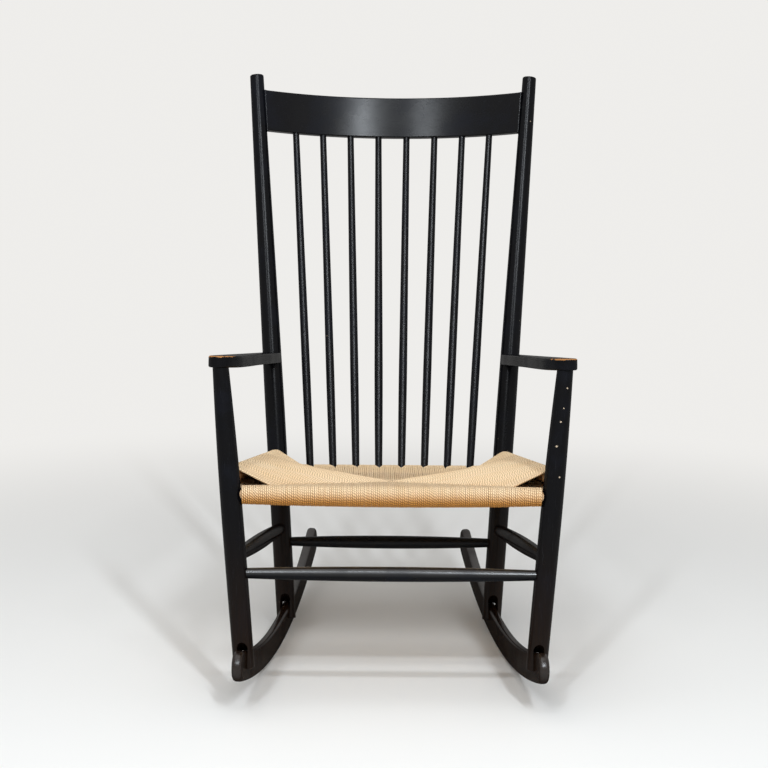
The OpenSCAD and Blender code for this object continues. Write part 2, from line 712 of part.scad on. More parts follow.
// Room in the woven seat for a round piece of diameter d whose axis runs from p to q
module room(p, q, d) {
    along(p, q) cylinder(d = d + 2 * seat_play, h = norm(q - p));
}

module cord_seat() {
    color(cord_colour) from_foot() difference() {
        polyhedron(seat_points, seat_faces, convexity = 6);
        polyhedron(hollow_points, hollow_faces, convexity = 6);
        room(flip(front_rail_end), front_rail_end, rail_d);
        room(flip(rear_rail_end), rear_rail_end, rail_d);
        for (side = [LEFT, RIGHT]) mirror([side == LEFT ? 1 : 0, 0, 0]) {
            room(side_rail_front, side_rail_rear, rail_d);
            room(leg_at(front_stretcher_z), leg_at(arm_front_z), front_belly_d + cord_d);
            room(post_at(rear_stretcher_z), post_at(arm_front_z), post_belly_d + cord_d);
        }
        for (i = [1:spindle_count]) room(spindle_foot(i), spindle_head(i), spindle_low_d);
    }
}

rocker(LEFT);  // rocker_left
rocker(RIGHT);  // rocker_right
front_leg(LEFT);  // front_leg_left
front_leg(RIGHT);  // front_leg_right
rear_post(LEFT);  // rear_post_left
rear_post(RIGHT);  // rear_post_right
armrest(LEFT);  // armrest_left
armrest(RIGHT);  // armrest_right
crest_rail();
spindle(1);  // spindle_1
spindle(2);  // spindle_2
spindle(3);  // spindle_3
spindle(4);  // spindle_4
spindle(5);  // spindle_5
spindle(6);  // spindle_6
spindle(7);  // spindle_7
spindle(8);  // spindle_8
front_stretcher();
rear_stretcher();
side_stretcher(LEFT);  // side_stretcher_left
side_stretcher(RIGHT);  // side_stretcher_right
seat_rail_front();
seat_rail_rear();
seat_rail_side(LEFT);  // seat_rail_left
seat_rail_side(RIGHT);  // seat_rail_right
rocker_dowels();
cord_seat();
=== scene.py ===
# %% [markdown]
# This lesson dresses a high-back rocking chair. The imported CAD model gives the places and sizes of
# its thirty pieces, and Blender adds what a drawing can't show: softened edges, lacquer with wear,
# and a seat of wound paper cord. The frame is loaded first, because everything else is set into
# it.

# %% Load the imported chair
import math
import random

import bmesh
import bpy
from mathutils import Matrix, Vector


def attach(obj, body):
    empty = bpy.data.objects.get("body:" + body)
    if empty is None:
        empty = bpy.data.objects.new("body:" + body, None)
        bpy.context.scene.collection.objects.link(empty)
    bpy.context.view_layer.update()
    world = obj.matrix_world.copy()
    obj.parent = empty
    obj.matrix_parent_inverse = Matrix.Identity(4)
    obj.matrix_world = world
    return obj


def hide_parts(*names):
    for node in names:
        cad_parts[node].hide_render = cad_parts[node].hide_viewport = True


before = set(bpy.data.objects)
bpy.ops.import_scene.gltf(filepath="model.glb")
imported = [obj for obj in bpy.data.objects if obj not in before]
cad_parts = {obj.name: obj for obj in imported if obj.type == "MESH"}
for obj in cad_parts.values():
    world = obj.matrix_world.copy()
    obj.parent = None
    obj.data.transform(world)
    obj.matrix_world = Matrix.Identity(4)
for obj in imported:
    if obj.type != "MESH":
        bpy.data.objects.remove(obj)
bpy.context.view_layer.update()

# %% [markdown]
# A maker sets out a chair from a few lines: where the feet stand, how far each leg leans, and how
# high each rail sits. Those lines are written here once, in millimetres from a point on the floor
# between the front feet, and every wooden piece below is hung on them. Copying points off the CAD
# mesh would also work, but formulas keep the curves smooth at any number of faces.

# %% Side frames: feet, leans and the rocker's two arcs
MM = 0.001
rocker_radius, rocker_top_radius = 1630.0, 1410.0
rocker_depth, rocker_thick = 47.0, 18.0
toe_in = math.radians(6.3)
nose_reach, tail_reach = 75.0, 865.0
contact_back, waist_back = 401.0, 395.0
front_foot_half, foot_spacing = 255.0, 481.0
front_splay, front_rake = math.radians(4.7), math.radians(6.2)
post_splay, post_rake = math.radians(3.95), math.radians(15)
overall_height = 1070.0
body_mid_y = (tail_reach - nose_reach) / 2 * math.cos(toe_in)


def arc_rise(radius, run):
    return radius - math.sqrt(radius**2 - run**2)


def underside(run):
    return arc_rise(rocker_radius, run - contact_back)


def topside(run):
    return rocker_depth + arc_rise(rocker_top_radius, run - waist_back)


def rocker_x(y):
    return front_foot_half - y * math.tan(toe_in)


post_run = foot_spacing / math.cos(toe_in)
front_cheek_rise, post_cheek_rise = 23.0, 20.6
front_fork_z = (underside(0) + topside(0) + front_cheek_rise) / 2
post_fork_z = (underside(post_run) + topside(post_run) + post_cheek_rise) / 2


def leg_at(z):
    """Axis point of the right-hand front leg at a height."""
    rise = z - front_fork_z
    return Vector((rocker_x(0) + rise * math.tan(front_splay), rise * math.tan(front_rake), z))


def post_at(z):
    """Axis point of the right-hand rear post at a height."""
    rise = z - post_fork_z
    x = rocker_x(foot_spacing) + rise * math.tan(post_splay)
    return Vector((x, foot_spacing + rise * math.tan(post_rake), z))


print("front fork at", round(front_fork_z, 2), "rear fork at", round(post_fork_z, 2))

# %% [markdown]
# Most of the frame is one of two kinds of solid: a turned bar, or a flat board with its edges
# rounded over. Both are skins stretched over a row of rings, so one helper joins rings into a
# closed mesh, and the two kinds of piece only work out where their rings go. The chair is the same
# on both sides, and a piece for the left is its right-hand twin with x turned over.

# %% Helpers that place points and make meshes
LEFT, RIGHT = -1, 1
SIDE_NAMES = {LEFT: "left", RIGHT: "right"}
SAME_POINT = 1e-7


def to_frame(point, side=RIGHT):
    """A maker's point in millimetres as a point of the shared frame in metres."""
    return Vector((point[0] * side, point[1] - body_mid_y, point[2])) * MM


def put_in_scene(name, data):
    """A new object at the origin that holds a mesh, a lamp or a camera."""
    made = bpy.data.objects.new(name, data)
    bpy.context.scene.collection.objects.link(made)
    return made


def new_mesh(name, points, edges=(), faces=()):
    mesh = bpy.data.meshes.new(name)
    mesh.from_pydata([tuple(p) for p in points], edges, faces)
    return mesh


def add_piece(name, points, faces, edge_wear=None):
    """A closed mesh object with its faces outwards and its place in its mesh."""
    mesh = new_mesh(name, points, faces=faces)
    if edge_wear:
        worn = mesh.attributes.new("edge_wear", "FLOAT", "POINT")
        worn.data.foreach_set("value", edge_wear)
    work = bmesh.new()
    work.from_mesh(mesh)
    bmesh.ops.remove_doubles(work, verts=work.verts, dist=SAME_POINT)
    bmesh.ops.recalc_face_normals(work, faces=work.faces)
    work.to_mesh(mesh)
    work.free()
    mesh.shade_smooth()
    return put_in_scene(name, mesh)


# %% Helpers that skin a row of rings and finish a piece
def ring_faces(rings, sides):
    """Quads between each ring and the next."""
    faces = []
    for low in range(0, (rings - 1) * sides, sides):
        high = low + sides
        for i in range(sides):
            j = (i + 1) % sides
            faces.append((low + i, low + j, high + j, high + i))
    return faces


def tube_faces(rings, sides):
    """The same quads, with a cap on the first ring and on the last."""
    last = (rings - 1) * sides
    return ring_faces(rings, sides) + [tuple(range(sides)), tuple(range(last, last + sides))]


def bake_modifiers(piece):
    """Turns what the modifiers show into a plain mesh."""
    bpy.context.view_layer.update()
    graph = bpy.context.evaluated_depsgraph_get()
    shown = bpy.data.meshes.new_from_object(piece.evaluated_get(graph))
    piece.modifiers.clear()
    piece.data = shown
    return piece


def even_shading(piece):
    """Makes wide faces keep their flat look beside narrow rounded ones."""
    weighted = piece.modifiers.new("even shading", "WEIGHTED_NORMAL")
    weighted.keep_sharp = True
    return bake_modifiers(piece)


def twins(name, make):
    """The left and the right piece of a pair, from a function of the piece's name and side."""
    pair = [make(name + side_name, side) for side, side_name in SIDE_NAMES.items()]
    for piece in pair:
        print(piece.name, "has", len(piece.data.polygons), "faces")
    return pair


# %% [markdown]
# A turned leg is a profile spun round its axis. The swell is the curve a turner cuts by eye: it
# grows from the foot to a belly and thins towards the top. Spinning the profile in code puts a
# ring exactly where each curve needs one, which a Screw modifier on a drawn profile would not do.

# %% Helper for turned legs and posts
TURNED_SIDES, TURNED_RINGS, EDGE_RINGS = 64, 72, 5


def swell(s, foot, belly, top, peak, power):
    """Diameter at the share s of the length, widest at the share peak."""
    if s < peak:
        return belly + (foot - belly) * (1 - s / peak) ** 2
    return belly + (top - belly) * ((s - peak) / (1 - peak)) ** power


def turned_piece(name, foot, head, diameter, foot_edge, head_edge, side):
    """A spun solid between two axis points, with both rims rounded over."""
    axis = head - foot
    length = axis.length
    turn = axis.to_track_quat("Z", "Y")
    quarter = [math.pi / 2 * i / EDGE_RINGS for i in range(1, EDGE_RINGS + 1)]
    profile = [(foot_edge * (1 - math.sin(a)), diameter(0) / 2 - foot_edge * (1 - math.cos(a)))
               for a in reversed(quarter)]
    body = length - foot_edge - head_edge
    for i in range(TURNED_RINGS + 1):
        along = foot_edge + body * i / TURNED_RINGS
        profile.append((along, diameter(along / length) / 2))
    profile += [(length - head_edge * (1 - math.sin(a)),
                 diameter(1) / 2 - head_edge * (1 - math.cos(a))) for a in quarter]
    points = []
    for along, radius in profile:
        for i in range(TURNED_SIDES):
            a = 2 * math.pi * i / TURNED_SIDES
            local = Vector((radius * math.cos(a), radius * math.sin(a), along))
            points.append(to_frame(foot + turn @ local, side))
    return add_piece(name, points, tube_faces(len(profile), TURNED_SIDES))


# %% [markdown]
# Each leg is forked at its foot and stands astride the rocker, so the board shows in front of the
# leg and the two cheeks hold it. The fork is sawn out, and so it is here. The slot has a round top
# that falls from an open arch at the front of the leg down to the rocker at its back. A Boolean
# takes it away, and a Bevel then eases the sawn edges the way lacquer rounds them.

# %% Helper that saws a fork
FORK_EASE, FORK_PLAY = 1.3, 0.4
SHARP = math.radians(32)
SAW_STEPS, EASE_STEPS = 24, 3
ROCKER_EDGE = 6.5
FITTED, SQUARE = 1, 0


def in_rocker(across, run, up):
    """A point given in the right-hand rocker's own directions."""
    x = front_foot_half + across * math.cos(toe_in) - run * math.sin(toe_in)
    y = across * math.sin(toe_in) + run * math.cos(toe_in)
    return Vector((x, y, up))


def saw_fork(piece, run, depth, gap, corners, side):
    """Cuts the slot for the rocker out of a leg's foot. The gap is its open height at the front.
    FITTED corners follow the rocker's rounded top edges, and SQUARE ones don't."""
    half = rocker_thick / 2 + FORK_PLAY
    crown_front = topside(run - depth / 2) + gap
    fall = (crown_front - topside(run + depth / 2) - FORK_PLAY) / depth
    points = []
    for i in range(SAW_STEPS + 1):
        reach = depth * (2 * i / SAW_STEPS - 1)
        room = topside(run + reach) + FORK_PLAY
        crown = crown_front - (reach + depth / 2) * fall
        outline = [(half, -half)]
        for a in (math.pi * j / SAW_STEPS for j in range(SAW_STEPS + 1)):
            corner = max(0.0, half * abs(math.cos(a)) - half + ROCKER_EDGE)
            drop = corners * (ROCKER_EDGE - math.sqrt(ROCKER_EDGE**2 - corner**2))
            outline.append((half * math.cos(a),
                            max(room - drop, crown - half + half * math.sin(a))))
        outline.append((-half, -half))
        points += [to_frame(in_rocker(across, run + reach, up), side) for across, up in outline]
    saw = add_piece(piece.name + "_saw", points, tube_faces(SAW_STEPS + 1, len(outline)))
    slot = piece.modifiers.new("fork", "BOOLEAN")
    slot.operation, slot.solver, slot.object = "DIFFERENCE", "EXACT", saw
    bake_modifiers(piece)
    bpy.data.objects.remove(saw)
    ease = piece.modifiers.new("eased edges", "BEVEL")
    ease.width, ease.segments = FORK_EASE * MM, EASE_STEPS
    ease.limit_method, ease.angle_limit = "ANGLE", SHARP
    ease.use_clamp_overlap = True
    bake_modifiers(piece)
    piece.data.shade_smooth()
    return even_shading(piece)


# %% [markdown]
# The two front legs lean a little outwards and backwards. Each is widest just below its middle and
# thins towards the arm, and its top stands a little way inside the arm. A tapered cylinder would
# be quicker, but the sides of the leg are slightly curved, so it is spun from its own curve and
# then sawn. The arm's height comes first, because the leg is cut to it.

# %% Front legs
front_foot_d, front_belly_d, front_top_d = 36.6, 37.8, 27.4
leg_peak, leg_power = 0.44, 2
arm_thick, arm_nose = 20.5, 22.0
arm_front_z, arm_slope = 616.0, math.radians(8.65)
leg_arm = leg_at(arm_front_z)
arm_front = Vector((leg_arm.x, leg_arm.y, arm_front_z - arm_nose * math.tan(arm_slope)
                    - arm_thick / 2 / math.cos(arm_slope)))
leg_foot = leg_at(underside(0) + front_cheek_rise)
leg_top = leg_at(arm_front.z - arm_thick / 2 / math.cos(arm_slope))
front_fork_gap = 16.0
FOOT_EASE, LEG_TOP_EASE, LEG_IN_ARM = 1.5, 1, 9.0


def leg_diameter(s):
    return swell(s, front_foot_d, front_belly_d, front_top_d, leg_peak, leg_power)


def front_leg(name, side):
    head = leg_top + (leg_top - leg_foot).normalized() * LEG_IN_ARM
    leg = turned_piece(name, leg_foot, head, leg_diameter, FOOT_EASE, LEG_TOP_EASE, side)
    return saw_fork(leg, 0, front_foot_d, front_fork_gap, FITTED, side)


front_legs = twins("turned_leg_", front_leg)

# %% [markdown]
# The rear posts are the longest turnings. They run from the rockers up past the crest rail and
# lean back fifteen degrees, and their tops are rounded over. They could be stretched copies of the
# legs, but they swell lower down and by another curve, so they get their own sizes. Their slots
# are taller, with plain corners.

# %% Rear posts
post_foot_d, post_belly_d, post_top_d = 36.8, 38.6, 27.0
post_peak, post_power = 0.37, 1.2
post_fork_gap = 33.0
POST_TOP_EASE, POST_TOP_LOSS = 3.2, 2.5
post_foot = post_at(underside(post_run) + post_cheek_rise)
post_top = post_at(overall_height - (post_top_d / 2 - POST_TOP_LOSS) * math.sin(post_rake))


def post_diameter(s):
    return swell(s, post_foot_d, post_belly_d, post_top_d, post_peak, post_power)


def rear_post(name, side):
    post = turned_piece(name, post_foot, post_top, post_diameter, FOOT_EASE, POST_TOP_EASE, side)
    return saw_fork(post, post_run, post_foot_d, post_fork_gap, SQUARE, side)


rear_posts = twins("turned_post_", rear_post)

# %% [markdown]
# Rockers, arms and the crest rail are boards. A board is drawn as two edges, its near and its far
# one, and rounded over by drawing the same outline again and again, a little further in and a
# little higher each time. That gives true quarter-round edges even where the outline curves, which
# a Bevel on a many-sided outline often spoils. The rings also know how exposed they are, and they
# write it into an attribute that the lacquer reads to wear its corners first.

# %% Helper for boards with rounded edges
ROUND_STEPS = 6
MEETING = 1e-6


def inset(outline, distance):
    """The closed outline moved inwards, each point along its own normal."""
    following = outline[1:] + outline[:1]
    area = sum(p.x * q.y - q.x * p.y for p, q in zip(outline, following))
    moved = []
    for i, (point, after) in enumerate(zip(outline, following)):
        edge = after - outline[i - 1]
        inward = Vector((-edge.y, edge.x)).normalized() * math.copysign(distance, area)
        moved.append(point + inward)
    return moved


def rounded_board(name, near, far, half, edge, place):
    """A board between two edge lines of equal length, whose ends may meet in one point."""
    count = len(near)
    tip = (near[0] - far[0]).length < MEETING
    tail = (near[-1] - far[-1]).length < MEETING
    back = list(range(count - 2 if tail else count - 1, 0 if tip else -1, -1))
    outline = [*near, *[far[i] for i in back]]
    far_index = {i: count + n for n, i in enumerate(back)}
    far_index.setdefault(0, 0)
    far_index.setdefault(count - 1, count - 1)
    angles = [math.pi / 2 * i / ROUND_STEPS for i in range(ROUND_STEPS + 1)]
    layers = [(-1, a) for a in reversed(angles)] + [(1, a) for a in angles]
    points, wear = [], []
    for up, a in layers:
        height = up * (half - edge + edge * math.sin(a))
        for point in inset(outline, edge * (1 - math.cos(a))):
            points.append(place(point.x, point.y, height))
            wear.append(math.sin(2 * a))
    faces = ring_faces(len(layers), len(outline))
    for start in (0, (len(layers) - 1) * len(outline)):
        for i in range(count - 1):
            corners = dict.fromkeys([i, i + 1, far_index[i + 1], far_index[i]])
            faces.append(tuple(start + c for c in corners))
    return even_shading(add_piece(name, points, faces, wear))


# %% [markdown]
# A rocker is a thin board sawn to a bow, with a round nose and a round tail. Its underside is the
# arc that the chair rolls on, and its top is a slightly tighter arc, so the board is slimmest at
# its waist. A straight board could be bent by a modifier, but with two arcs drawn from their radii
# it is known where the board touches the floor.

# %% Rockers
RUN_STATIONS, TIP_STATIONS = 96, 12


def board_slope(run):
    return math.asin((run - (contact_back + waist_back) / 2) / rocker_radius)


def half_depth(run):
    return (topside(run) - underside(run)) * math.cos(board_slope(run)) / 2


def board_point(run, along, across):
    """A point beside the rocker's middle line: along the board and square to it."""
    slope = board_slope(run)
    return Vector((run + along * math.cos(slope) - across * math.sin(slope),
                   (topside(run) + underside(run)) / 2
                   + along * math.sin(slope) + across * math.cos(slope)))


nose_run = half_depth(-nose_reach) - nose_reach
tail_run = tail_reach - half_depth(tail_reach)


def rocker_edge(up):
    """The lower or upper edge of a rocker from the tip of its nose to the tip of its tail."""
    edge = []
    for i in range(TIP_STATIONS):
        a, r = math.pi / 2 * i / TIP_STATIONS, half_depth(nose_run)
        edge.append(board_point(nose_run, -r * math.cos(a), up * r * math.sin(a)))
    for i in range(RUN_STATIONS + 1):
        run = nose_run + (tail_run - nose_run) * i / RUN_STATIONS
        edge.append(board_point(run, 0, up * half_depth(run)))
    for i in range(1, TIP_STATIONS + 1):
        a, r = math.pi / 2 * i / TIP_STATIONS, half_depth(tail_run)
        edge.append(board_point(tail_run, r * math.sin(a), up * r * math.cos(a)))
    return edge


rockers = twins("rocker_board_", lambda name, side: rounded_board(
    name, rocker_edge(-1), rocker_edge(1), rocker_thick / 2, ROCKER_EDGE,
    lambda run, up, across: to_frame(in_rocker(across, run, up), side)))
print("lowest point at", round(min(v.co.z for v in rockers[0].data.vertices), 5))

# %% [markdown]
# An arm is a flat bar with a round nose, widest over the front leg and narrower towards the post.
# Such an arm is usually hollowed at its rear to sit against the post, and this one reaches a
# little way into the post, which hides its end. The post leans, so the height where they meet
# depends on how far back they meet. A dozen rounds of correcting a guess settle it.

# %% Arms
arm_belly_in, arm_belly_out, arm_rear_in, arm_rear_out = 31.5, 19.0, 21.0, 16.5
arm_belly_back, arm_waist_back, arm_corner = 60.0, 360.0, 8.0
cope_share = 0.37
ARM_EDGE, ARM_STEPS, ARM_END_STEPS, AIM_ROUNDS = 3.6, 28, 7, 12

post_meets_z = arm_front_z
for _ in range(AIM_ROUNDS):
    back = post_at(post_meets_z).y - leg_arm.y + arm_nose
    post_meets_z = arm_front_z - back * math.tan(arm_slope) - arm_thick / 2
arm_rear = post_at(post_meets_z)
arm_way = (arm_rear - arm_front).normalized()
arm_across = Vector((arm_way.y, -arm_way.x, 0)).normalized()
arm_up = arm_across.cross(arm_way)
arm_len = (arm_rear - arm_front).length
post_at_arm_d = post_diameter((arm_rear.z - arm_thick - post_foot.z) / (post_top.z - post_foot.z))


def mix(a, b, t):
    return a + (b - a) * t


def arm_edge(belly, rear, belly_back, way):
    """One edge of an arm from the middle of its round nose to its rear corner."""
    end = arm_len - post_at_arm_d * cope_share
    edge = []
    for i in range(ARM_STEPS + 1):
        a = math.pi / 2 * i / ARM_STEPS
        edge.append(Vector((way * belly * math.sin(a),
                            belly_back - (belly_back + arm_nose) * math.cos(a))))
    for i in range(1, ARM_STEPS + 1):
        draw = (1 - math.cos(math.pi * i / ARM_STEPS)) / 2
        edge.append(Vector((way * mix(belly, rear, draw),
                            mix(belly_back, arm_waist_back, i / ARM_STEPS))))
    for i in range(ARM_END_STEPS):
        a = math.pi / 2 * i / (ARM_END_STEPS - 1)
        edge.append(Vector((way * (rear - arm_corner * (1 - math.cos(a))),
                            end - arm_corner * (1 - math.sin(a)))))
    return edge


def in_arm(across, back, up):
    return arm_front + arm_across * across + arm_way * back + arm_up * up


arms = twins("arm_", lambda name, side: rounded_board(
    name, arm_edge(arm_belly_out, arm_rear_out, 0, 1),
    arm_edge(arm_belly_in, arm_rear_in, arm_belly_back, -1), arm_thick / 2, ARM_EDGE,
    lambda across, back, up: to_frame(in_arm(across, back, up), side)))

# %% [markdown]
# The crest rail is a board bent to a shallow curve, leaning with the posts and held between them.
# A bend modifier on a straight board would come close. The arc follows from its chord and its
# depth alone, so each point is placed straight on it, and its radius can be printed.

# %% Crest rail
crest_bottom_z, crest_h, crest_thick, crest_sag = 958.0, 81.0, 18.0, 65.0
CREST_EDGE, CREST_STATIONS = 2.6, 72
crest_low = post_at(crest_bottom_z)
crest_mid = post_at(crest_bottom_z + crest_h / 2 * math.cos(post_rake))
post_crest_r = post_diameter((crest_mid.z - post_foot.z) / (post_top.z - post_foot.z)) / 2
crest_half_chord = crest_mid.x - post_crest_r
crest_radius = (crest_half_chord**2 + crest_sag**2) / (2 * crest_sag)
crest_centre_y = crest_sag - crest_radius


def crest_point(arc, up, out):
    """A point of the bent board: along its curve, up its face and out through its thickness."""
    a = arc / crest_radius
    x = (crest_radius + out) * math.sin(a)
    back = crest_centre_y + (crest_radius + out) * math.cos(a)
    return Vector((x, crest_low.y + back * math.cos(post_rake) + up * math.sin(post_rake),
                   crest_low.z - back * math.sin(post_rake) + up * math.cos(post_rake)))


def crest_edge(up):
    """The board's lower or upper edge, which stops inside the leaning posts."""
    post = post_at(crest_low.z + up * math.cos(post_rake))
    reach = crest_radius * math.asin((post.x - 2 * cope_share * post_crest_r) / crest_radius)
    return [Vector((mix(-reach, reach, i / CREST_STATIONS), up))
            for i in range(CREST_STATIONS + 1)]


crest = rounded_board(
    "crest_board", crest_edge(0), crest_edge(crest_h), crest_thick / 2, CREST_EDGE,
    lambda arc, up, out: to_frame(crest_point(arc, up, out)))
print("crest board bends on a radius of", round(crest_radius, 1), "mm")

# %% [markdown]
# The eight spindles and four stretchers are all plain turned bars, which differ only in their two
# end points, their three diameters and where they are widest. That is work for Geometry Nodes: one
# tree draws a line between two points, swells it by a formula, and sweeps a circle along it. First
# comes a small class that lets a formula be written with the usual signs, and the materials use it
# too. Every node that isn't a sum comes from one method that takes its type, settings and sockets.

# %% Formulas written as nodes
def sign(operation, turned=False):
    """What a Python sign does to a flow. A turned one puts the other value first."""
    if turned:
        return lambda flow, other: flow.sheet.maths(operation, other, flow)
    return lambda flow, other: flow.sheet.maths(operation, flow, other)


class Flow:
    """What comes out of a node's socket, ready for sums with other flows and plain numbers."""

    def __init__(self, sheet, socket):
        self.sheet, self.socket = sheet, socket

    __add__ = __radd__ = sign("ADD")
    __sub__, __rsub__ = sign("SUBTRACT"), sign("SUBTRACT", turned=True)
    __mul__ = __rmul__ = sign("MULTIPLY")
    __truediv__, __pow__ = sign("DIVIDE"), sign("POWER")

    def maths(self, operation, *others):
        return self.sheet.maths(operation, self, *others)

    def step(self, low, high):
        """0 below low, 1 above high, and a soft rise between them."""
        return self.sheet.node("ShaderNodeMapRange", {"interpolation_type": "SMOOTHSTEP"},
                               {"Value": self, "From Min": low, "From Max": high})


class Sheet:
    """A node tree under construction."""

    def __init__(self, tree):
        self.tree = tree

    def node(self, kind, settings=None, sockets=None, out=0):
        """Adds a node, sets it up, fills its sockets, and hands on one of its outputs."""
        made = self.tree.nodes.new(kind)
        for key, value in (settings or {}).items():
            setattr(made, key, value)
        for key, value in (sockets or {}).items():
            socket = self.find(made.inputs, key)
            if isinstance(value, Flow):
                self.tree.links.new(value.socket, socket)
            else:
                socket.default_value = value
        return Flow(self, self.find(made.outputs, out)) if made.outputs else made

    @staticmethod
    def find(sockets, key):
        if isinstance(key, int):
            return sockets[key]
        return next(s for s in sockets if key in (s.identifier, s.name) and s.enabled)

    def maths(self, operation, *terms):
        return self.node("ShaderNodeMath", {"operation": operation}, dict(enumerate(terms)))

    def vectors(self, operation, first, second, out="Value"):
        return self.node("ShaderNodeVectorMath", {"operation": operation},
                         {0: first, 1: second}, out)

    def blend(self, share, first, second):
        """A colour between two colours."""
        flows = {"Factor_Float": share}
        for key, colour in (("A_Color", first), ("B_Color", second)):
            flows[key] = colour if isinstance(colour, Flow) else (*colour, 1)
        return self.node("ShaderNodeMix", {"data_type": "RGBA"}, flows, "Result_Color")

    def cover(self, colour, *layers):
        """A colour with layers over it, each a share and a colour."""
        for share, layer in layers:
            colour = self.blend(share, colour, layer)
        return colour


print("formula helpers are ready")

# %% Helpers for geometry trees
def geometry_tree(name, inputs):
    """An empty tree with named inputs and one geometry going in and out."""
    tree = bpy.data.node_groups.new(name, "GeometryNodeTree")
    tree.interface.new_socket("Geometry", in_out="INPUT", socket_type="NodeSocketGeometry")
    for label, kind, value in inputs:
        socket = tree.interface.new_socket(label, in_out="INPUT", socket_type="NodeSocket" + kind)
        if value is not None:
            socket.default_value = value
    tree.interface.new_socket("Geometry", in_out="OUTPUT", socket_type="NodeSocketGeometry")
    sheet = Sheet(tree)
    source = tree.nodes.new("NodeGroupInput")
    return sheet, {s.name: Flow(sheet, s) for s in source.outputs if s.name}


def unit_circle(sheet, sides):
    return sheet.node("GeometryNodeCurvePrimitiveCircle", {"mode": "RADIUS"},
                      {"Resolution": sides, "Radius": 1.0})


def end_tree(sheet, geometry, material):
    """Ends a tree in real faces that carry a material."""
    smooth = sheet.node("GeometryNodeSetShadeSmooth", {}, {"Geometry": geometry})
    real = sheet.node("GeometryNodeRealizeInstances", {}, {"Geometry": smooth})
    dressed = sheet.node("GeometryNodeSetMaterial", {}, {"Geometry": real, "Material": material})
    sheet.node("NodeGroupOutput", {}, {0: dressed})


def run_tree(piece, tree, values):
    """Runs a tree on an object with named input values and keeps the result as a plain mesh."""
    modifier = piece.modifiers.new(tree.name, "NODES")
    modifier.node_group = tree
    for item in tree.interface.items_tree:
        if item.item_type == "SOCKET" and item.in_out == "INPUT" and item.name in values:
            modifier[item.identifier] = values[item.name]
    return bake_modifiers(piece)


# %% Geometry tree for a turned bar
bar_sheet, bar_in = geometry_tree("turned bar", [
    ("Start", "Vector", None), ("End", "Vector", None), ("Start Diameter", "Float", 0.02),
    ("Widest Diameter", "Float", 0.02), ("End Diameter", "Float", 0.02), ("Peak", "Float", 0.5),
    ("Power", "Float", 2.0), ("Rings", "Int", 25), ("Sides", "Int", 32),
    ("Finish", "Material", None)])
line = bar_sheet.node("GeometryNodeCurvePrimitiveLine", {}, {0: bar_in["Start"], 1: bar_in["End"]})
line = bar_sheet.node("GeometryNodeResampleCurve", {}, {"Curve": line, "Count": bar_in["Rings"]})
s = bar_sheet.node("GeometryNodeSplineParameter")
before = (1 - s / bar_in["Peak"]).maths("MAXIMUM", 0.0) ** 2.0
beyond = ((s - bar_in["Peak"]) / (1 - bar_in["Peak"])).maths("MAXIMUM", 0.0) ** bar_in["Power"]
widest = bar_in["Widest Diameter"]
bar_radius = (widest + (bar_in["Start Diameter"] - widest) * before
              + (bar_in["End Diameter"] - widest) * beyond) / 2
bar_mesh = bar_sheet.node("GeometryNodeCurveToMesh", {}, {
    "Curve": line, "Profile Curve": unit_circle(bar_sheet, bar_in["Sides"]),
    "Scale": bar_radius, "Fill Caps": True})
end_tree(bar_sheet, bar_mesh, bar_in["Finish"])
print("turned bar tree has", len(bar_sheet.tree.nodes), "nodes")

# %% [markdown]
# The finish of the wood comes next, because the trees hand it to what they make. The real chair is
# brushed or sprayed with black lacquer that has dulled in use: a soft gloss with cloudy patches,
# fine scratches along the grain, small pale chips, and bare orange wood where hands have rubbed the
# ends of the arms. Towards the floor the black is painted brown, a painted reflection of a brown
# floor that also stands for a thinner coat there. Each of these is a mask made from the position on
# the object and, on the arms, from how exposed an edge is, so no image is needed and the pattern
# never slides.

# %% Helpers for finishes
def empty_sheet(holder):
    """A material's or a world's node tree with nothing in it yet."""
    holder.use_nodes = True
    holder.node_tree.nodes.clear()
    return Sheet(holder.node_tree)


def new_finish(name):
    """A material, its sheet, and the position on the object that its patterns start from."""
    material = bpy.data.materials.new(name)
    sheet = empty_sheet(material)
    return material, sheet, sheet.node("ShaderNodeTexCoord", {}, {}, "Object")


def bump(sheet, strength, distance, height):
    return sheet.node("ShaderNodeBump", {}, {
        "Strength": strength, "Distance": distance, "Height": height})


def end_finish(sheet, sockets):
    surface = sheet.node("ShaderNodeBsdfPrincipled", {}, sockets)
    sheet.node("ShaderNodeOutputMaterial", {}, {"Surface": surface})


def part_of(sheet, vector, axis):
    return sheet.node("ShaderNodeSeparateXYZ", {}, {"Vector": vector}, axis)


def attribute(sheet, name, out="Fac"):
    return sheet.node("ShaderNodeAttribute", {"attribute_name": name}, {}, out)


def noise(sheet, spot, scale, detail, roughness=0.5):
    return sheet.node("ShaderNodeTexNoise", {}, {
        "Vector": spot, "Scale": scale, "Detail": detail, "Roughness": roughness}, "Fac")


def grain_noise(sheet, spot, scale, detail, offset=(0, 0, 0)):
    """Noise drawn out along the grain: a small scale along it and a large one across it."""
    laid = sheet.node("ShaderNodeMapping", {}, {"Vector": spot, "Scale": scale, "Location": offset})
    return noise(sheet, laid, 1.0, detail, 0.6)


def facing(sheet, way):
    """How far the surface faces a way: 1 straight at it, 0 square to it."""
    normal = sheet.node("ShaderNodeNewGeometry", {}, {}, "Normal")
    return sheet.vectors("DOT_PRODUCT", normal, way)


# Noise scales per metre along and across the grain of the wood.
LONG, WIDE = 7.0, 260.0
print("finish helpers are ready")

# %% [markdown]
# The lacquer is damaged in two ways. Small pale chips show where something struck a leg, and hands
# have rubbed the top edges of the arms' noses bare. Both could be painted by hand. Places and
# radii written in the script can be read and moved, and noise gives them ragged edges.

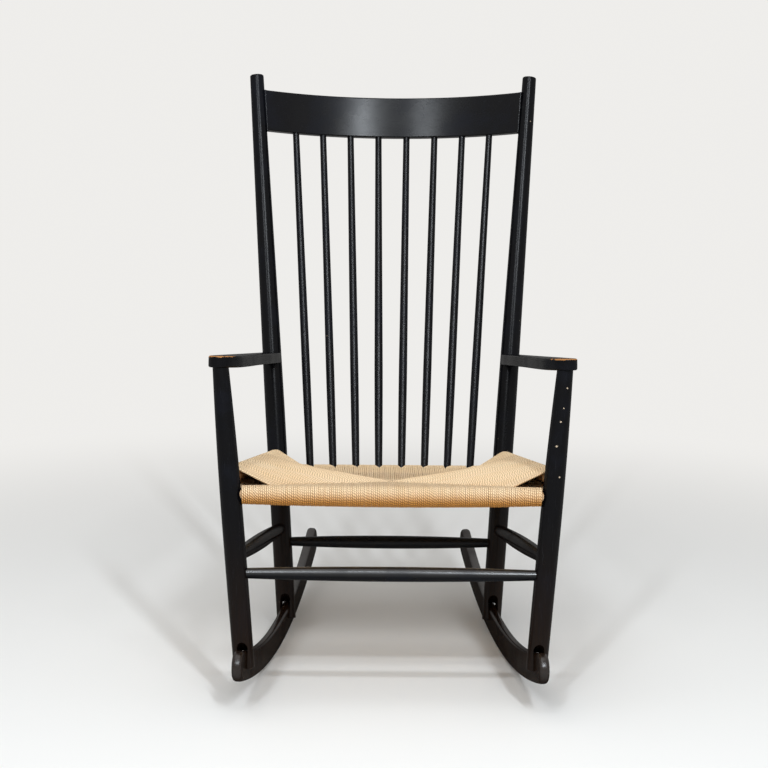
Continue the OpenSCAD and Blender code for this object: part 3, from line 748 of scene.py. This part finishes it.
# %% Chips and rubbed noses
CHIP_CELLS, CHIP_RAGGED, CHIP_RARE = 55.0, 620.0, 23.0
arm_front_back = (arm_front.y - body_mid_y) * MM
NOSE_RUB_FROM, NOSE_RUB_TO = arm_front_back - 0.016, arm_front_back + 0.034
ARM_MID_LEVEL = arm_front.z * MM + arm_front_back * math.tan(arm_slope)
ARM_TOP_RISE = 0.006


def chip_mask(sheet, spot, chips, marks):
    """Pale chips: a few scattered ones, and one at each mark, which is a place and a radius."""
    ragged = noise(sheet, spot, CHIP_RAGGED, 2.0)
    mask = 0.0
    if chips:
        cells = sheet.node("ShaderNodeTexVoronoi", {"feature": "F1"}, {
            "Vector": spot, "Scale": CHIP_CELLS, "Randomness": 1.0}, "Distance")
        rare = noise(sheet, spot, CHIP_RARE, 1.0).step(0.66 - 0.08 * chips, 0.70)
        mask = (1 - (cells + ragged * 0.06).step(0.075, 0.095)) * rare
    for place, size in marks:
        away = sheet.vectors("DISTANCE", spot, place)
        dot = 1 - (away + (ragged - 0.5) * size).step(size * 0.8, size)
        mask = sheet.maths("MAXIMUM", mask, dot)
    return mask


def rub_masks(sheet, spot, rub):
    """Where hands have bared the top edge of an arm's nose, and the thin coat round that."""
    front = part_of(sheet, spot, "Y")
    level = part_of(sheet, spot, "Z") + front * math.tan(arm_slope)
    above = level.step(ARM_MID_LEVEL, ARM_MID_LEVEL + ARM_TOP_RISE)
    near = (1 - front.step(NOSE_RUB_FROM, NOSE_RUB_TO)) * above
    worn = attribute(sheet, "edge_wear") * 0.45 + noise(sheet, spot, 120.0, 5.0, 0.62)
    return (worn + near * rub).step(1.14, 1.20), (worn + near * rub * 0.7).step(0.95, 1.2)


print("the arms' noses are rubbed back to", round(NOSE_RUB_TO, 3), "m")

# %% [markdown]
# The gloss of the lacquer is a clear coat over matt black, and not the black's own gloss. A full
# gloss would mirror the pale studio at every grazing edge and turn the chair grey. A coat can be
# weak, and it can be strong only where the photograph shows a highlight, as on the front stretcher
# and the rockers' noses.

# %% Black lacquer
BLACK = (0.0018, 0.0018, 0.0025)
THIN_COAT_AND_REFLECTED_BROWN = (0.0150, 0.0068, 0.0025)
HAZE = (0.0080, 0.0088, 0.0125)
SCRATCH_GREY = (0.030, 0.031, 0.036)
RUBBED_WOOD = (0.42, 0.205, 0.078)
DARK_WOOD = (0.30, 0.13, 0.045)
CHIP_PALE = (0.50, 0.40, 0.29)
COAT_ROUGHNESS = 0.25
REFLECTED_BROWN_FROM, REFLECTED_BROWN_TO = 0.36, 0.05
SCRATCH_SCALE, SCRATCH_OFFSET = 3.1, (0.31, 0.17, 0.43)
UPWARDS, FORWARDS = (0, -0.5, 0.87), (0, -0.87, 0.5)


def black_lacquer(name, grain, lean=0.0, rub=0.0, chips=0.35, floor_reflection_brown=0.0, shine=0.35, polish=0.0,
                  polished_way=UPWARDS, marks=()):
    """Lacquer whose scratches follow the grain of a piece that leans back. rub bares the edges, the
    brown share paints brown towards the floor, a painted reflection of a brown floor and a thinner
    coat, and polish adds shine where the surface faces the polished way."""
    material, sheet, spot = new_finish("black lacquer " + name)
    height = part_of(sheet, spot, "Z")
    clouds = noise(sheet, spot, 14.0, 4.0, 0.55)
    shift = sheet.node("ShaderNodeVectorMath", {"operation": "SCALE"},
                       {0: (0, -lean, 0), "Scale": height}, "Vector")
    upright = sheet.vectors("ADD", spot, shift, "Vector")
    flow = grain_noise(sheet, upright, grain, 3.0)
    scratched = grain_noise(sheet, upright, [g * SCRATCH_SCALE for g in grain], 2.0,
                            SCRATCH_OFFSET).step(0.635, 0.70)
    lost = chip = chip_mask(sheet, spot, chips, marks)
    relief = flow * 0.12 + clouds * 0.5 - chip * 1.5 - scratched * 0.12
    # Painted floor reflection and thin coat: brown towards the floor.
    low = 1 - height.step(REFLECTED_BROWN_TO, REFLECTED_BROWN_FROM)
    tone = sheet.cover(BLACK, (clouds.step(0.46, 0.72) * 0.55, HAZE),
                       (low * (0.25 + 0.75 * flow) * floor_reflection_brown, THIN_COAT_AND_REFLECTED_BROWN),
                       (scratched * 0.30, SCRATCH_GREY))
    if rub:
        bare, thinned = rub_masks(sheet, spot, rub)
        tone = sheet.cover(tone, (thinned * 0.55, THIN_COAT_AND_REFLECTED_BROWN),
                           (bare, sheet.blend(flow, RUBBED_WOOD, DARK_WOOD)))
        lost = sheet.maths("MAXIMUM", chip, bare)
        relief = relief - bare * 1.2
    tone = sheet.blend(chip * 0.9, tone, CHIP_PALE)
    dulled = clouds.step(0.4, 0.75) * 0.35 + scratched * 0.3 + flow * 0.15
    if polish:
        shine = shine + facing(sheet, polished_way).step(0.25, 0.85) * polish
    coat = (1 - dulled) * (1 - lost) * shine
    end_finish(sheet, {"Base Color": tone, "Roughness": 0.6, "Coat Weight": coat,
                       "Coat Roughness": COAT_ROUGHNESS, "Specular IOR Level": 0.0,
                       "Normal": bump(sheet, 0.22, 0.0004, relief)})
    return material


print("darkest lacquer:", BLACK)

# %% [markdown]
# The same recipe is mixed once for each kind of piece, because the grain follows the piece and the
# wear and shine differ. The chips on the front of the right-hand leg are placed one by one. Both
# front legs share that lacquer, but those chips lie where only the right-hand leg is.

# %% Mix the lacquers and dress the legs and the boards
# Each chip is a height, a distance to one side and a radius.
LEG_CHIPS = [(564, 5.4, 1.6), (530, 2.4, 1.3), (507, -0.6, 1.7), (465, -3.6, 2.0), (412, 6.4, 1.7)]


def leg_front(z, sideways):
    """A place on the front of the right-hand leg, a little to one side of its middle."""
    axis = to_frame(leg_at(z))
    radius = leg_diameter((z - leg_foot.z) / (leg_top.z - leg_foot.z)) / 2 * MM
    x = sideways * MM
    return (axis.x + x, axis.y - math.sqrt(radius**2 - x**2), axis.z)


def dress(piece, material):
    piece.data.materials.clear()
    piece.data.materials.append(material)


UP_GRAIN, ACROSS_GRAIN, BACK_GRAIN = (WIDE, WIDE, LONG), (LONG, WIDE, WIDE), (WIDE, LONG, WIDE)
leg_marks = [(leg_front(z, sideways), size * MM) for z, sideways, size in LEG_CHIPS]
lacquer_upright = black_lacquer("upright", UP_GRAIN, math.tan(front_rake), floor_reflection_brown=0.9, shine=0.24,
                                marks=leg_marks)
lacquer_post = black_lacquer("post", UP_GRAIN, math.tan(post_rake), floor_reflection_brown=0.9, shine=0.24)
lacquer_spindle = black_lacquer("spindle", UP_GRAIN, math.tan(post_rake))
lacquer_across = black_lacquer("across", ACROSS_GRAIN, chips=0)
lacquer_stretcher = black_lacquer("stretcher", ACROSS_GRAIN, chips=0, shine=0.25, polish=1.1)
lacquer_lengthways = black_lacquer("lengthways", BACK_GRAIN, floor_reflection_brown=1.0, shine=0.10, polish=0.9,
                                   polished_way=FORWARDS)
lacquer_arm = black_lacquer("rubbed arm", BACK_GRAIN, rub=0.42, chips=0.8, shine=0.22)
for pieces, lacquer in ((front_legs, lacquer_upright), (rear_posts, lacquer_post),
                        (rockers, lacquer_lengthways), (arms, lacquer_arm),
                        ([crest], lacquer_across)):
    for piece in pieces:
        dress(piece, lacquer)
print("lacquers:", [m.name for m in bpy.data.materials if m.name.startswith("black")])

# %% [markdown]
# The spindles stand in the rear seat rail, fan out and end in the crest rail. The stretchers join
# the legs and posts and are thickest in the middle. Each is one run of the tree between two points
# that the legs, posts, rail and crest already give, so nothing has to be lined up by hand.

# %% Sizes of the spindles and stretchers
rail_d, rear_rail_z = 27.0, 296.0
rear_rail_end = post_at(rear_rail_z)
spindle_count, spindle_pitch_low, spindle_pitch_high = 8, 44.8, 57.0
spindle_d, spindle_tenon_len = (14.0, 16.6, 12.8), 12.0
front_stretcher_z, rear_stretcher_z = 238.0, 168.0
side_stretcher_front_z, side_stretcher_rear_z = 266.0, 194.0
front_stretcher_d, rear_stretcher_d = (17.3, 26.2, 17.3), (15.8, 25.6, 15.8)
side_stretcher_d = (18.5, 29.0, 18.5)
STRETCHER_SWELL, SPINDLE_SWELL = (0.5, 2.0), (0.31, 1.0)
BAR_RINGS, BAR_SIDES = 33, 32


def turned_bar(name, start, end, diameters, material, side=RIGHT, swell_shape=STRETCHER_SWELL):
    """A spindle or stretcher from the turned bar tree."""
    holder = add_piece(name, [(0, 0, 0)], [])
    return run_tree(holder, bar_sheet.tree, {
        "Start": to_frame(start, side), "End": to_frame(end, side),
        "Start Diameter": diameters[0] * MM, "Widest Diameter": diameters[1] * MM,
        "End Diameter": diameters[2] * MM, "Peak": swell_shape[0], "Power": swell_shape[1],
        "Rings": BAR_RINGS, "Sides": BAR_SIDES, "Finish": material})


def flip(p):
    return Vector((-p.x, p.y, p.z))


print("a bar is made of", BAR_RINGS, "rings of", BAR_SIDES, "points")

# %% Spindles and stretchers
spindle_steps = [i + 1 - (spindle_count + 1) / 2 for i in range(spindle_count)]
spindles = []
for number, offset in enumerate(spindle_steps, 1):
    low = Vector((offset * spindle_pitch_low, rear_rail_end.y, rear_rail_z))
    high = crest_point(offset * spindle_pitch_high, spindle_tenon_len, 0)
    spindles.append(turned_bar("spindle_bar_%d" % number, low, high, spindle_d, lacquer_spindle,
                               swell_shape=SPINDLE_SWELL))
front_end, rear_end = leg_at(front_stretcher_z), post_at(rear_stretcher_z)
stretchers = {
    "front_stretcher": turned_bar("front_stretcher_bar", flip(front_end), front_end,
                                  front_stretcher_d, lacquer_stretcher),
    "rear_stretcher": turned_bar("rear_stretcher_bar", flip(rear_end), rear_end,
                                 rear_stretcher_d, lacquer_across)}
for side, side_name in SIDE_NAMES.items():
    stretchers["side_stretcher_" + side_name] = turned_bar(
        "side_stretcher_bar_" + side_name, leg_at(side_stretcher_front_z),
        post_at(side_stretcher_rear_z), side_stretcher_d, lacquer_lengthways, side)
print("bars made:", len(spindles) + len(stretchers))

# %% [markdown]
# The seat is one long paper cord wound over four round rails. Each turn goes round a rail and runs
# in to a diagonal seam, where it dives between its neighbours, so four panels meet at the middle.
# The side rails sit higher than the front and rear ones, and near the corners the side turns
# bridge over the front panel and leave a dark pocket. A texture on a flat sheet would lose the
# rolls, the seams and the pockets, so each turn is laid as a line and a tree sweeps a real cord
# along it.

# %% Lines of the seat: rails, panels and seams
cord_d, seat_sag, seat_thick = 3.3, 10.0, 16.0
cord_r = cord_d / 2
front_rail_z, side_front_z, side_rear_z = 374.0, 406.0, 328.0
wrap_r = rail_d / 2 + cord_d
line_r = rail_d / 2 + cord_r
front_y, rear_y = leg_at(front_rail_z).y, rear_rail_end.y
seat_mid_y = (front_y + rear_y) / 2
side_front, side_rear = leg_at(side_front_z), post_at(side_rear_z)
mid_top = (front_rail_z + rear_rail_z) / 2 + wrap_r - seat_sag
mid_low = mid_top - seat_thick
SHORTEST_REACH = 23.0
SEAM_HALVINGS = 30


def side_axis(y):
    """Where the right-hand side rail's axis is at a distance back."""
    t = (y - side_front.y) / (side_rear.y - side_front.y)
    return side_front.lerp(side_rear, t)


def lengthways(y):
    """0 over the front or rear rail, 1 at the middle of the seat."""
    if y < seat_mid_y:
        return (y - front_y) / (seat_mid_y - front_y)
    return (rear_y - y) / (rear_y - seat_mid_y)


def seam_heights(y):
    """Heights of the cord's middle line at the upper and lower seams."""
    q = max(0.0, lengthways(y))
    rail_z = front_rail_z if y < seat_mid_y else rear_rail_z
    return (mix(rail_z + wrap_r, mid_top, q) - cord_r, mix(rail_z - wrap_r, mid_low, q) + cord_r)


def seam_back(x, rail_y):
    """How far the seam lies from the front or rear rail for the turn at x."""
    low, high = 0.0, 1.0
    for _ in range(SEAM_HALVINGS):
        q = (low + high) / 2
        y = mix(rail_y, seat_mid_y, q)
        if abs(x) > side_axis(y).x * (1 - q):
            high = q
        else:
            low = q
    return max(SHORTEST_REACH, low * abs(seat_mid_y - rail_y))


print("seat dips to", round(mid_top, 1), "mm, its front panel runs",
      round(seam_back(0, front_y), 1), "mm back")

# %% [markdown]
# One turn comes up from the lower seam, runs out to the rail, goes round it and runs back to the
# upper seam, where it dives out of sight. It could be drawn by eye, but a stretched cord is
# straight until it touches its rail, so the two touching points are worked out and only the
# stretch between them is round.

# %% One turn of cord, seen from the end of its rail
# DIVE holds distances from the seam, each with how far the cord has sunk there.
WRAP_STEPS, SPAN_STEPS = 11, 6
DIVE = [(3.2, 0.15), (1.4, 0.9), (0.3, 2.6), (0.0, 5.0)]


def rail_turn(rail_z, top_reach, top_z, low_reach, low_z, radius=line_r):
    """Points (outward, up) from the lower seam, round the rail, to the upper seam."""
    def touch(reach, z, way):
        away = math.hypot(reach, z - rail_z)
        angle = math.atan2(z - rail_z, -reach) % (2 * math.pi)
        return angle + way * math.acos(radius / away)

    def span(start, end):
        return [(mix(start[0], end[0], i / SPAN_STEPS), mix(start[1], end[1], i / SPAN_STEPS))
                for i in range(1, SPAN_STEPS)]

    high = touch(top_reach, top_z, -1)
    low = touch(low_reach, low_z, 1) - 2 * math.pi
    wrap = [(radius * math.cos(a), rail_z + radius * math.sin(a))
            for a in (mix(low, high, i / WRAP_STEPS) for i in range(WRAP_STEPS + 1))]
    under = [(-low_reach + back, low_z + rise) for back, rise in reversed(DIVE)]
    over = [(-top_reach + back, top_z - drop) for back, drop in DIVE]
    return under + span(under[-1], wrap[0]) + wrap + span(wrap[-1], over[0]) + over


print("a turn has", len(rail_turn(front_rail_z, 200, 345, 200, 330)), "points")

# %% [markdown]
# The turns on the front and side rails lie a cord's width apart. On the rear rail they are packed
# closer, because they leave room for each spindle, and they fan out again to fill the seam.
# Scattering copies of one turn wouldn't do, since each reaches its own distance to the seam, so
# every turn is worked out from its place on the rail.

# %% Helpers that lay one turn
FRONT_BRIDGE, REAR_BRIDGE, SIDE_LIFT = 68.0, 55.0, 0.9
ROLL_SWELL, REAR_SWELL = 2.0, 1.5
FRONT_FAN, REAR_FAN = 70.0, 32.0
REAR_PACKING = 0.76
LEG_GAP, POST_GAP, MIDDLE_GAP = 1.0, 0.5, 0.6
SIDE_FRONT_GAP, SIDE_REAR_GAP = 1.2, 4.6
front_last = leg_at(front_rail_z).x - front_belly_d / 2 - cord_r - LEG_GAP
rear_last = rear_rail_end.x - post_belly_d / 2 - cord_r - POST_GAP


def spaced(first, last, pitch):
    """Evenly spaced places from first to last, about a pitch apart."""
    count = max(1, round((last - first) / pitch))
    return [first + (last - first) * i / count for i in range(count + 1)]


def end_turn(rail_x, seam_x, rail_y, rail_z, out):
    """A turn over the front or rear rail. It fans from its place on the rail to its seam."""
    reach = seam_back(seam_x, rail_y)
    top_z, low_z = seam_heights(rail_y - out * reach)
    swelling = ROLL_SWELL * (1 - (rail_x / front_last) ** 2) if out < 0 else REAR_SWELL
    points = []
    for outward, up in rail_turn(rail_z + out * swelling, reach, top_z, reach, low_z,
                                 line_r + swelling):
        fan = min(1.0, max(0.0, -outward / (FRONT_FAN if out < 0 else REAR_FAN)))
        x = mix(rail_x, seam_x, fan * fan * (3 - 2 * fan))
        points.append(Vector((x, rail_y + out * outward, up)))
    return points


def side_turn(y, side):
    """A turn over a side rail, which bridges over the end panel near a corner."""
    axis = side_axis(y)
    own = max(0.0, lengthways(y)) * axis.x
    bridge = FRONT_BRIDGE if y < seat_mid_y else REAR_BRIDGE
    reach = min(max(own, bridge), axis.x - MIDDLE_GAP)
    top_z, low_z = seam_heights(y)
    top_z += SIDE_LIFT + cord_d * max(0.0, 1 - own / bridge)
    return [Vector((side * (axis.x + outward), y, up))
            for outward, up in rail_turn(axis.z, reach, top_z, reach, low_z)]


print("outermost turns, front and rear:", round(front_last, 1), round(rear_last, 1), "mm out")

# %% Lay the turns of the four panels
spindle_gap = spindle_d[0] / 2 + cord_r
panels = {"front": [end_turn(x, x, front_y, front_rail_z, -1)
                    for x in spaced(-front_last, front_last, cord_d)]}
rear_places = []
walls = [-rear_last - spindle_gap, *[offset * spindle_pitch_low for offset in spindle_steps],
         rear_last + spindle_gap]
for near, far in zip(walls, walls[1:]):
    rear_places += spaced(near + spindle_gap, far - spindle_gap, cord_d * REAR_PACKING)
rear_seams = spaced(-rear_last, rear_last, 2 * rear_last / (len(rear_places) - 1))
panels["rear"] = [end_turn(x, seam, rear_y, rear_rail_z, 1)
                  for x, seam in zip(rear_places, rear_seams)]
side_first = side_front.y + front_belly_d / 2 + cord_r + SIDE_FRONT_GAP
side_last = side_rear.y - post_belly_d / 2 - cord_r - SIDE_REAR_GAP
for side, side_name in SIDE_NAMES.items():
    panels[side_name] = [side_turn(y, side) for y in spaced(side_first, side_last, cord_d)]
print("turns:", {name: len(turns) for name, turns in panels.items()})

# %% [markdown]
# The tree that makes the cord reads the laid lines, turns them into curves and sweeps a small
# circle along them. Two things are kept on the mesh while it is made: how far along the cord a
# point lies, and which way round the cord it faces. With both, the finish can draw the twist of
# the paper strands as a spiral that stays true on every bend.

# %% Geometry tree for wound cord
cord_sheet, cord_in = geometry_tree("wound cord", [
    ("Cord Diameter", "Float", 0.003), ("Sides", "Int", 8), ("Finish", "Material", None)])


def keep_on_points(geometry, name, kind, value):
    return cord_sheet.node(
        "GeometryNodeStoreNamedAttribute", {"data_type": kind, "domain": "POINT"},
        {"Geometry": geometry, "Name": name, "Value": value})


strands = cord_sheet.node("GeometryNodeMeshToCurve", {}, {"Mesh": cord_in["Geometry"]})
strands = keep_on_points(strands, "along", "FLOAT",
                         cord_sheet.node("GeometryNodeSplineParameter", {}, {}, "Length"))
ring = keep_on_points(unit_circle(cord_sheet, cord_in["Sides"]), "facing", "FLOAT_VECTOR",
                      cord_sheet.node("GeometryNodeInputPosition"))
cord_mesh = cord_sheet.node("GeometryNodeCurveToMesh", {}, {
    "Curve": strands, "Profile Curve": ring, "Scale": cord_in["Cord Diameter"] / 2,
    "Fill Caps": True})
end_tree(cord_sheet, cord_mesh, cord_in["Finish"])
print("wound cord tree has", len(cord_sheet.tree.nodes), "nodes")

# %% [markdown]
# Paper cord is strands of brown kraft paper twisted together, and each turn is a slightly different
# straw colour, yellowed in patches. The grooves between the strands and the gaps between the turns
# are painted darker, as painted shade. The underside of the front roll is painted deep orange-brown,
# a painted shade and a painted reflection of a brown floor, with deeper painted shade in its
# grooves.
# The rear panel is painted paler, with less painted shade in its grooves, so the twist also shows
# less there: a painted light for a panel that lies away from the lamps.

# %% Paper cord
STRAW, HONEY, REAR_PAINTED_LIGHT = (0.92, 0.715, 0.47), (0.84, 0.60, 0.35), (0.98, 0.74, 0.46)
GROOVE_SHADE, ROLL_SHADE_REFLECTION, FIBRE = (0.17, 0.072, 0.018), (0.70, 0.30, 0.05), (0.86, 0.74, 0.55)
STRANDS, TWIST = 2, 0.0092
ROLL_LOW, ROLL_HIGH = (front_rail_z - 12) * MM, (front_rail_z + 14) * MM
ROLL_FRONT, ROLL_BACK = (front_y - body_mid_y + 2) * MM, (front_y - body_mid_y + 30) * MM
REAR_FROM, REAR_TO = 0.0, 0.06


def paper_cord(name, rail_way):
    """Cord round a rail that runs rail_way. The gaps between its turns face along the rail."""
    material, sheet, spot = new_finish("paper cord " + name)
    height, front = part_of(sheet, spot, "Z"), part_of(sheet, spot, "Y")
    tone = attribute(sheet, "tone")
    round_cord = attribute(sheet, "facing", "Vector")
    turn = part_of(sheet, round_cord, "Y").maths("ARCTAN2", part_of(sheet, round_cord, "X"))
    along = attribute(sheet, "along") * (math.pi * STRANDS / TWIST)
    phase = turn * (STRANDS / 2) + along + noise(sheet, spot, 60.0, 2.0) * 2.0 + tone * 7.0
    crown = phase.maths("COSINE").maths("ABSOLUTE")
    sideways = facing(sheet, rail_way).maths("ABSOLUTE")
    fibre = noise(sheet, spot, 900.0, 2.0)
    patch = noise(sheet, spot, 7.5, 4.0, 0.6)
    # Painted shade and floor reflection: the front roll's underside turns orange-brown.
    rubbed = (1 - height.step(ROLL_LOW, ROLL_HIGH)) * (1 - front.step(ROLL_FRONT, ROLL_BACK))
    # Painted light: the rear panel is paler and its painted shade is halved.
    rear = front.step(REAR_FROM, REAR_TO)
    rear_shade_eased = 1 - rear * 0.5
    # Painted shade in the grooves between strands and the gaps between turns.
    strand_shade = (1 - (crown - 0.18 * rubbed).step(0.10, 0.80)) * (0.70 + 0.3 * rubbed) * rear_shade_eased
    between = sideways.step(0.55, 0.95) * (0.25 + 0.4 * rubbed) * rear_shade_eased
    colour = sheet.cover(STRAW, (tone * 0.55 + patch.step(0.42, 0.66) * 0.45, HONEY),
                         (rear * 0.8, REAR_PAINTED_LIGHT), (rubbed, ROLL_SHADE_REFLECTION), (strand_shade, GROOVE_SHADE),
                         (between, GROOVE_SHADE), (fibre.step(0.58, 0.75) * 0.16, FIBRE))
    end_finish(sheet, {"Base Color": colour, "Roughness": 0.74 + fibre * 0.12,
                       "Normal": bump(sheet, 0.75, 0.0006, crown + fibre * 0.25),
                       "Specular IOR Level": 0.3})
    return material


cord_ends = paper_cord("front and rear", (1, 0, 0))
cord_sides = paper_cord("sides", (0, 1, 0))
print("cord finishes:", cord_ends.name, "and", cord_sides.name)

# %% [markdown]
# Each panel becomes one object, whose lines all turn into cord in one run of the tree, so that no
# one mesh holds the faces of the whole seat. One object for the whole seat would have too many
# faces to export whole. A small shift and a shade for each turn, thrown with fixed dice, keep the
# winding from looking machined.

# %% Wind the seat
CORD_SIDES = 8
JITTER = 0.16
dice = random.Random(7)
seat_panels = []
for panel, turns in panels.items():
    points, edges, tones = [], [], []
    for turn in turns:
        start = len(points)
        shade = dice.random()
        nudge = Vector([dice.uniform(-JITTER, JITTER) for _ in range(3)])
        points += [to_frame(p + nudge) for p in turn]
        tones += [shade] * len(turn)
        edges += [(start + i, start + i + 1) for i in range(len(turn) - 1)]
    mesh = new_mesh("seat_cord_" + panel, points, edges)
    mesh.attributes.new("tone", "FLOAT", "POINT").data.foreach_set("value", tones)
    wound = run_tree(put_in_scene(mesh.name, mesh), cord_sheet.tree, {
        "Cord Diameter": cord_d * MM, "Sides": CORD_SIDES,
        "Finish": cord_ends if panel in ("front", "rear") else cord_sides})
    seat_panels.append(wound)
    length = sum((b - a).length for turn in turns for a, b in zip(turn, turn[1:]))
    print(wound.name, len(wound.data.polygons), "faces,", round(length * MM, 1), "m of cord")

# %% [markdown]
# The rails under the cord and the dowels in the forks are plain round bars whose CAD shape is
# right, so they stay as they are and only get a finish. The rails can't be seen in the photograph.
# Such rails are usually left as bare wood under the cord, so these are too.

# %% Bare wood and the kept CAD pieces
PLAIN_WOOD, DARK_RING, PORE = (0.56, 0.36, 0.19), (0.40, 0.22, 0.10), (0.22, 0.11, 0.045)


def bare_wood(name, grain):
    material, sheet, spot = new_finish("bare wood " + name)
    flow = grain_noise(sheet, spot, grain, 5.0)
    pores = grain_noise(sheet, spot, [g * 4 for g in grain], 2.0, (0.2, 0.5, 0.1))
    colour = sheet.cover(PLAIN_WOOD, (flow.step(0.35, 0.68), DARK_RING),
                         (pores.step(0.6, 0.72) * 0.5, PORE))
    end_finish(sheet, {"Base Color": colour, "Roughness": 0.55 + pores * 0.2,
                       "Normal": bump(sheet, 0.3, 0.0004, flow)})
    return material


wood_across = bare_wood("across", ACROSS_GRAIN)
wood_lengthways = bare_wood("lengthways", BACK_GRAIN)
kept = {"seat_rail_front": wood_across, "seat_rail_rear": wood_across,
        "seat_rail_left": wood_lengthways, "seat_rail_right": wood_lengthways,
        "rocker_dowels": lacquer_across}
for node, material in kept.items():
    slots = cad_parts[node].material_slots
    if slots:
        for slot in slots:
            slot.material = material
    else:
        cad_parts[node].data.materials.append(material)
print("kept CAD nodes:", sorted(kept))

# %% [markdown]
# Each new piece is now hung on the chair's one body, and the CAD node it stands for is hidden.
# The whole chair is one body, because nothing on it moves against anything else.

# %% Tie the pieces to the frame
def stand_for(piece, node):
    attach(piece, "root")
    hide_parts(node)


for side_name, *pieces in zip(SIDE_NAMES.values(), front_legs, rear_posts, rockers, arms):
    for piece, node in zip(pieces, ("front_leg_", "rear_post_", "rocker_", "armrest_")):
        stand_for(piece, node + side_name)
stand_for(crest, "crest_rail")
for number, spindle in enumerate(spindles, 1):
    stand_for(spindle, "spindle_%d" % number)
for node, stretcher in stretchers.items():
    stand_for(stretcher, node)
for panel in seat_panels:
    stand_for(panel, "cord_seat")
print("pieces tied:", len(front_legs + rear_posts + rockers + arms + spindles + seat_panels)
      + len(stretchers) + 1)

# %% [markdown]
# The chair stands on a pale floor. Far from the chair the floor turns into an even pale ground, so
# that no horizon shows, while near the chair it stays a real surface that keeps the shadow. A
# backdrop bent up behind the chair would hide the horizon too, but it would stand in the way of
# every view from behind.

# %% Floor and surroundings
PALE = (0.86, 0.85, 0.83)
REACH = 40.0
GROUND_FROM, GROUND_TO = 0.8, 2.2
WORLD_LIGHT = 0.42
corners = [(-REACH, -REACH, 0), (REACH, -REACH, 0), (REACH, REACH, 0), (-REACH, REACH, 0)]
floor = put_in_scene("floor", new_mesh("floor", corners, faces=[(0, 1, 2, 3)]))


def seen_directly(sheet):
    """1 for rays that show the background: from the camera, off gloss and through glass."""
    rays = [sheet.node("ShaderNodeLightPath", {}, {}, name)
            for name in ("Is Camera Ray", "Is Glossy Ray", "Is Transmission Ray")]
    return rays[0].maths("MAXIMUM", rays[1]).maths("MAXIMUM", rays[2])


floor_material, sheet, spot = new_finish("pale floor")
away = sheet.node("ShaderNodeVectorMath", {"operation": "LENGTH"}, {0: spot}, "Value")
matt = sheet.node("ShaderNodeBsdfDiffuse", {}, {"Color": (*PALE, 1)})
glow = sheet.node("ShaderNodeEmission", {}, {"Color": (*PALE, 1), "Strength": 1.0})
ground = sheet.node("ShaderNodeMixShader", {}, {
    0: away.step(GROUND_FROM, GROUND_TO) * seen_directly(sheet), 1: matt, 2: glow})
sheet.node("ShaderNodeOutputMaterial", {}, {"Surface": ground})
dress(floor, floor_material)

world = bpy.data.worlds.new("studio")
bpy.context.scene.world = world
sheet = empty_sheet(world)
sky = sheet.node("ShaderNodeBackground", {}, {
    "Color": (*PALE, 1), "Strength": WORLD_LIGHT + (1 - WORLD_LIGHT) * seen_directly(sheet)})
sheet.node("ShaderNodeOutputWorld", {}, {"Surface": sky})
print("floor reaches", REACH, "m each way")

# %% [markdown]
# Black lacquer shows little but what it mirrors, so the shapes of the lamps matter more than their
# number. Two tall ones in front draw the long highlights down the posts and the two bright bands
# on the crest rail. A wide one overhead lights the seat, and a flat one high in front draws the
# bright line along the stretchers. Point lamps would leave only dots.

# %% Lamps
def soft_lamp(name, place, target, size, power, colour):
    data = bpy.data.lights.new(name, "AREA")
    data.shape, data.size, data.size_y = "RECTANGLE", size[0], size[1]
    data.energy, data.color = power, colour
    way = Vector(target) - Vector(place)
    put_in_scene(name, data).matrix_world = Matrix.LocRotScale(
        Vector(place), way.to_track_quat("-Z", "Y"), None)


CREST_CENTRE, SEAT_CENTRE, STRETCHER = (0, 0.35, 0.95), (0, 0, 0.3), (0, -0.2, 0.25)
TALL, WIDE_SQUARE, FLAT = (0.24, 1.2), (2.6, 2.6), (2.8, 0.16)
COOL, WARM = (0.88, 0.94, 1.0), (1.0, 0.985, 0.96)
soft_lamp("front lamp left", (-1.12, -4.3, 3.3), CREST_CENTRE, TALL, 60, COOL)
soft_lamp("front lamp right", (1.12, -4.3, 3.3), CREST_CENTRE, TALL, 110, COOL)
soft_lamp("overhead lamp", (-0.4, -0.6, 3.3), SEAT_CENTRE, WIDE_SQUARE, 27, WARM)
soft_lamp("strip lamp", (0, -2.7, 3.3), STRETCHER, FLAT, 44, COOL)

# %% [markdown]
# The camera repeats the photograph's view: 3.6 m in front of the front feet, a little higher than
# the crest rail, with a long lens, looking ten degrees down. The photograph was held half a degree
# off level, and the camera repeats that too.

# %% Camera
PITCH, YAW, ROLL = math.radians(79.91), math.radians(-0.19), math.radians(0.51)
EYE = (-0.02725, -3.6 - body_mid_y * MM, 1.2162)
camera_data = bpy.data.cameras.new("camera")
camera_data.lens, camera_data.sensor_width = 100.99, 36.0
camera = put_in_scene("camera", camera_data)
camera.matrix_world = (Matrix.Translation(EYE) @ Matrix.Rotation(YAW, 4, "Z")
                       @ Matrix.Rotation(PITCH, 4, "X") @ Matrix.Rotation(ROLL, 4, "Z"))
bpy.context.scene.camera = camera
bpy.context.scene.view_settings.view_transform = "Standard"
print("camera stands", round(EYE[2], 2), "m high")
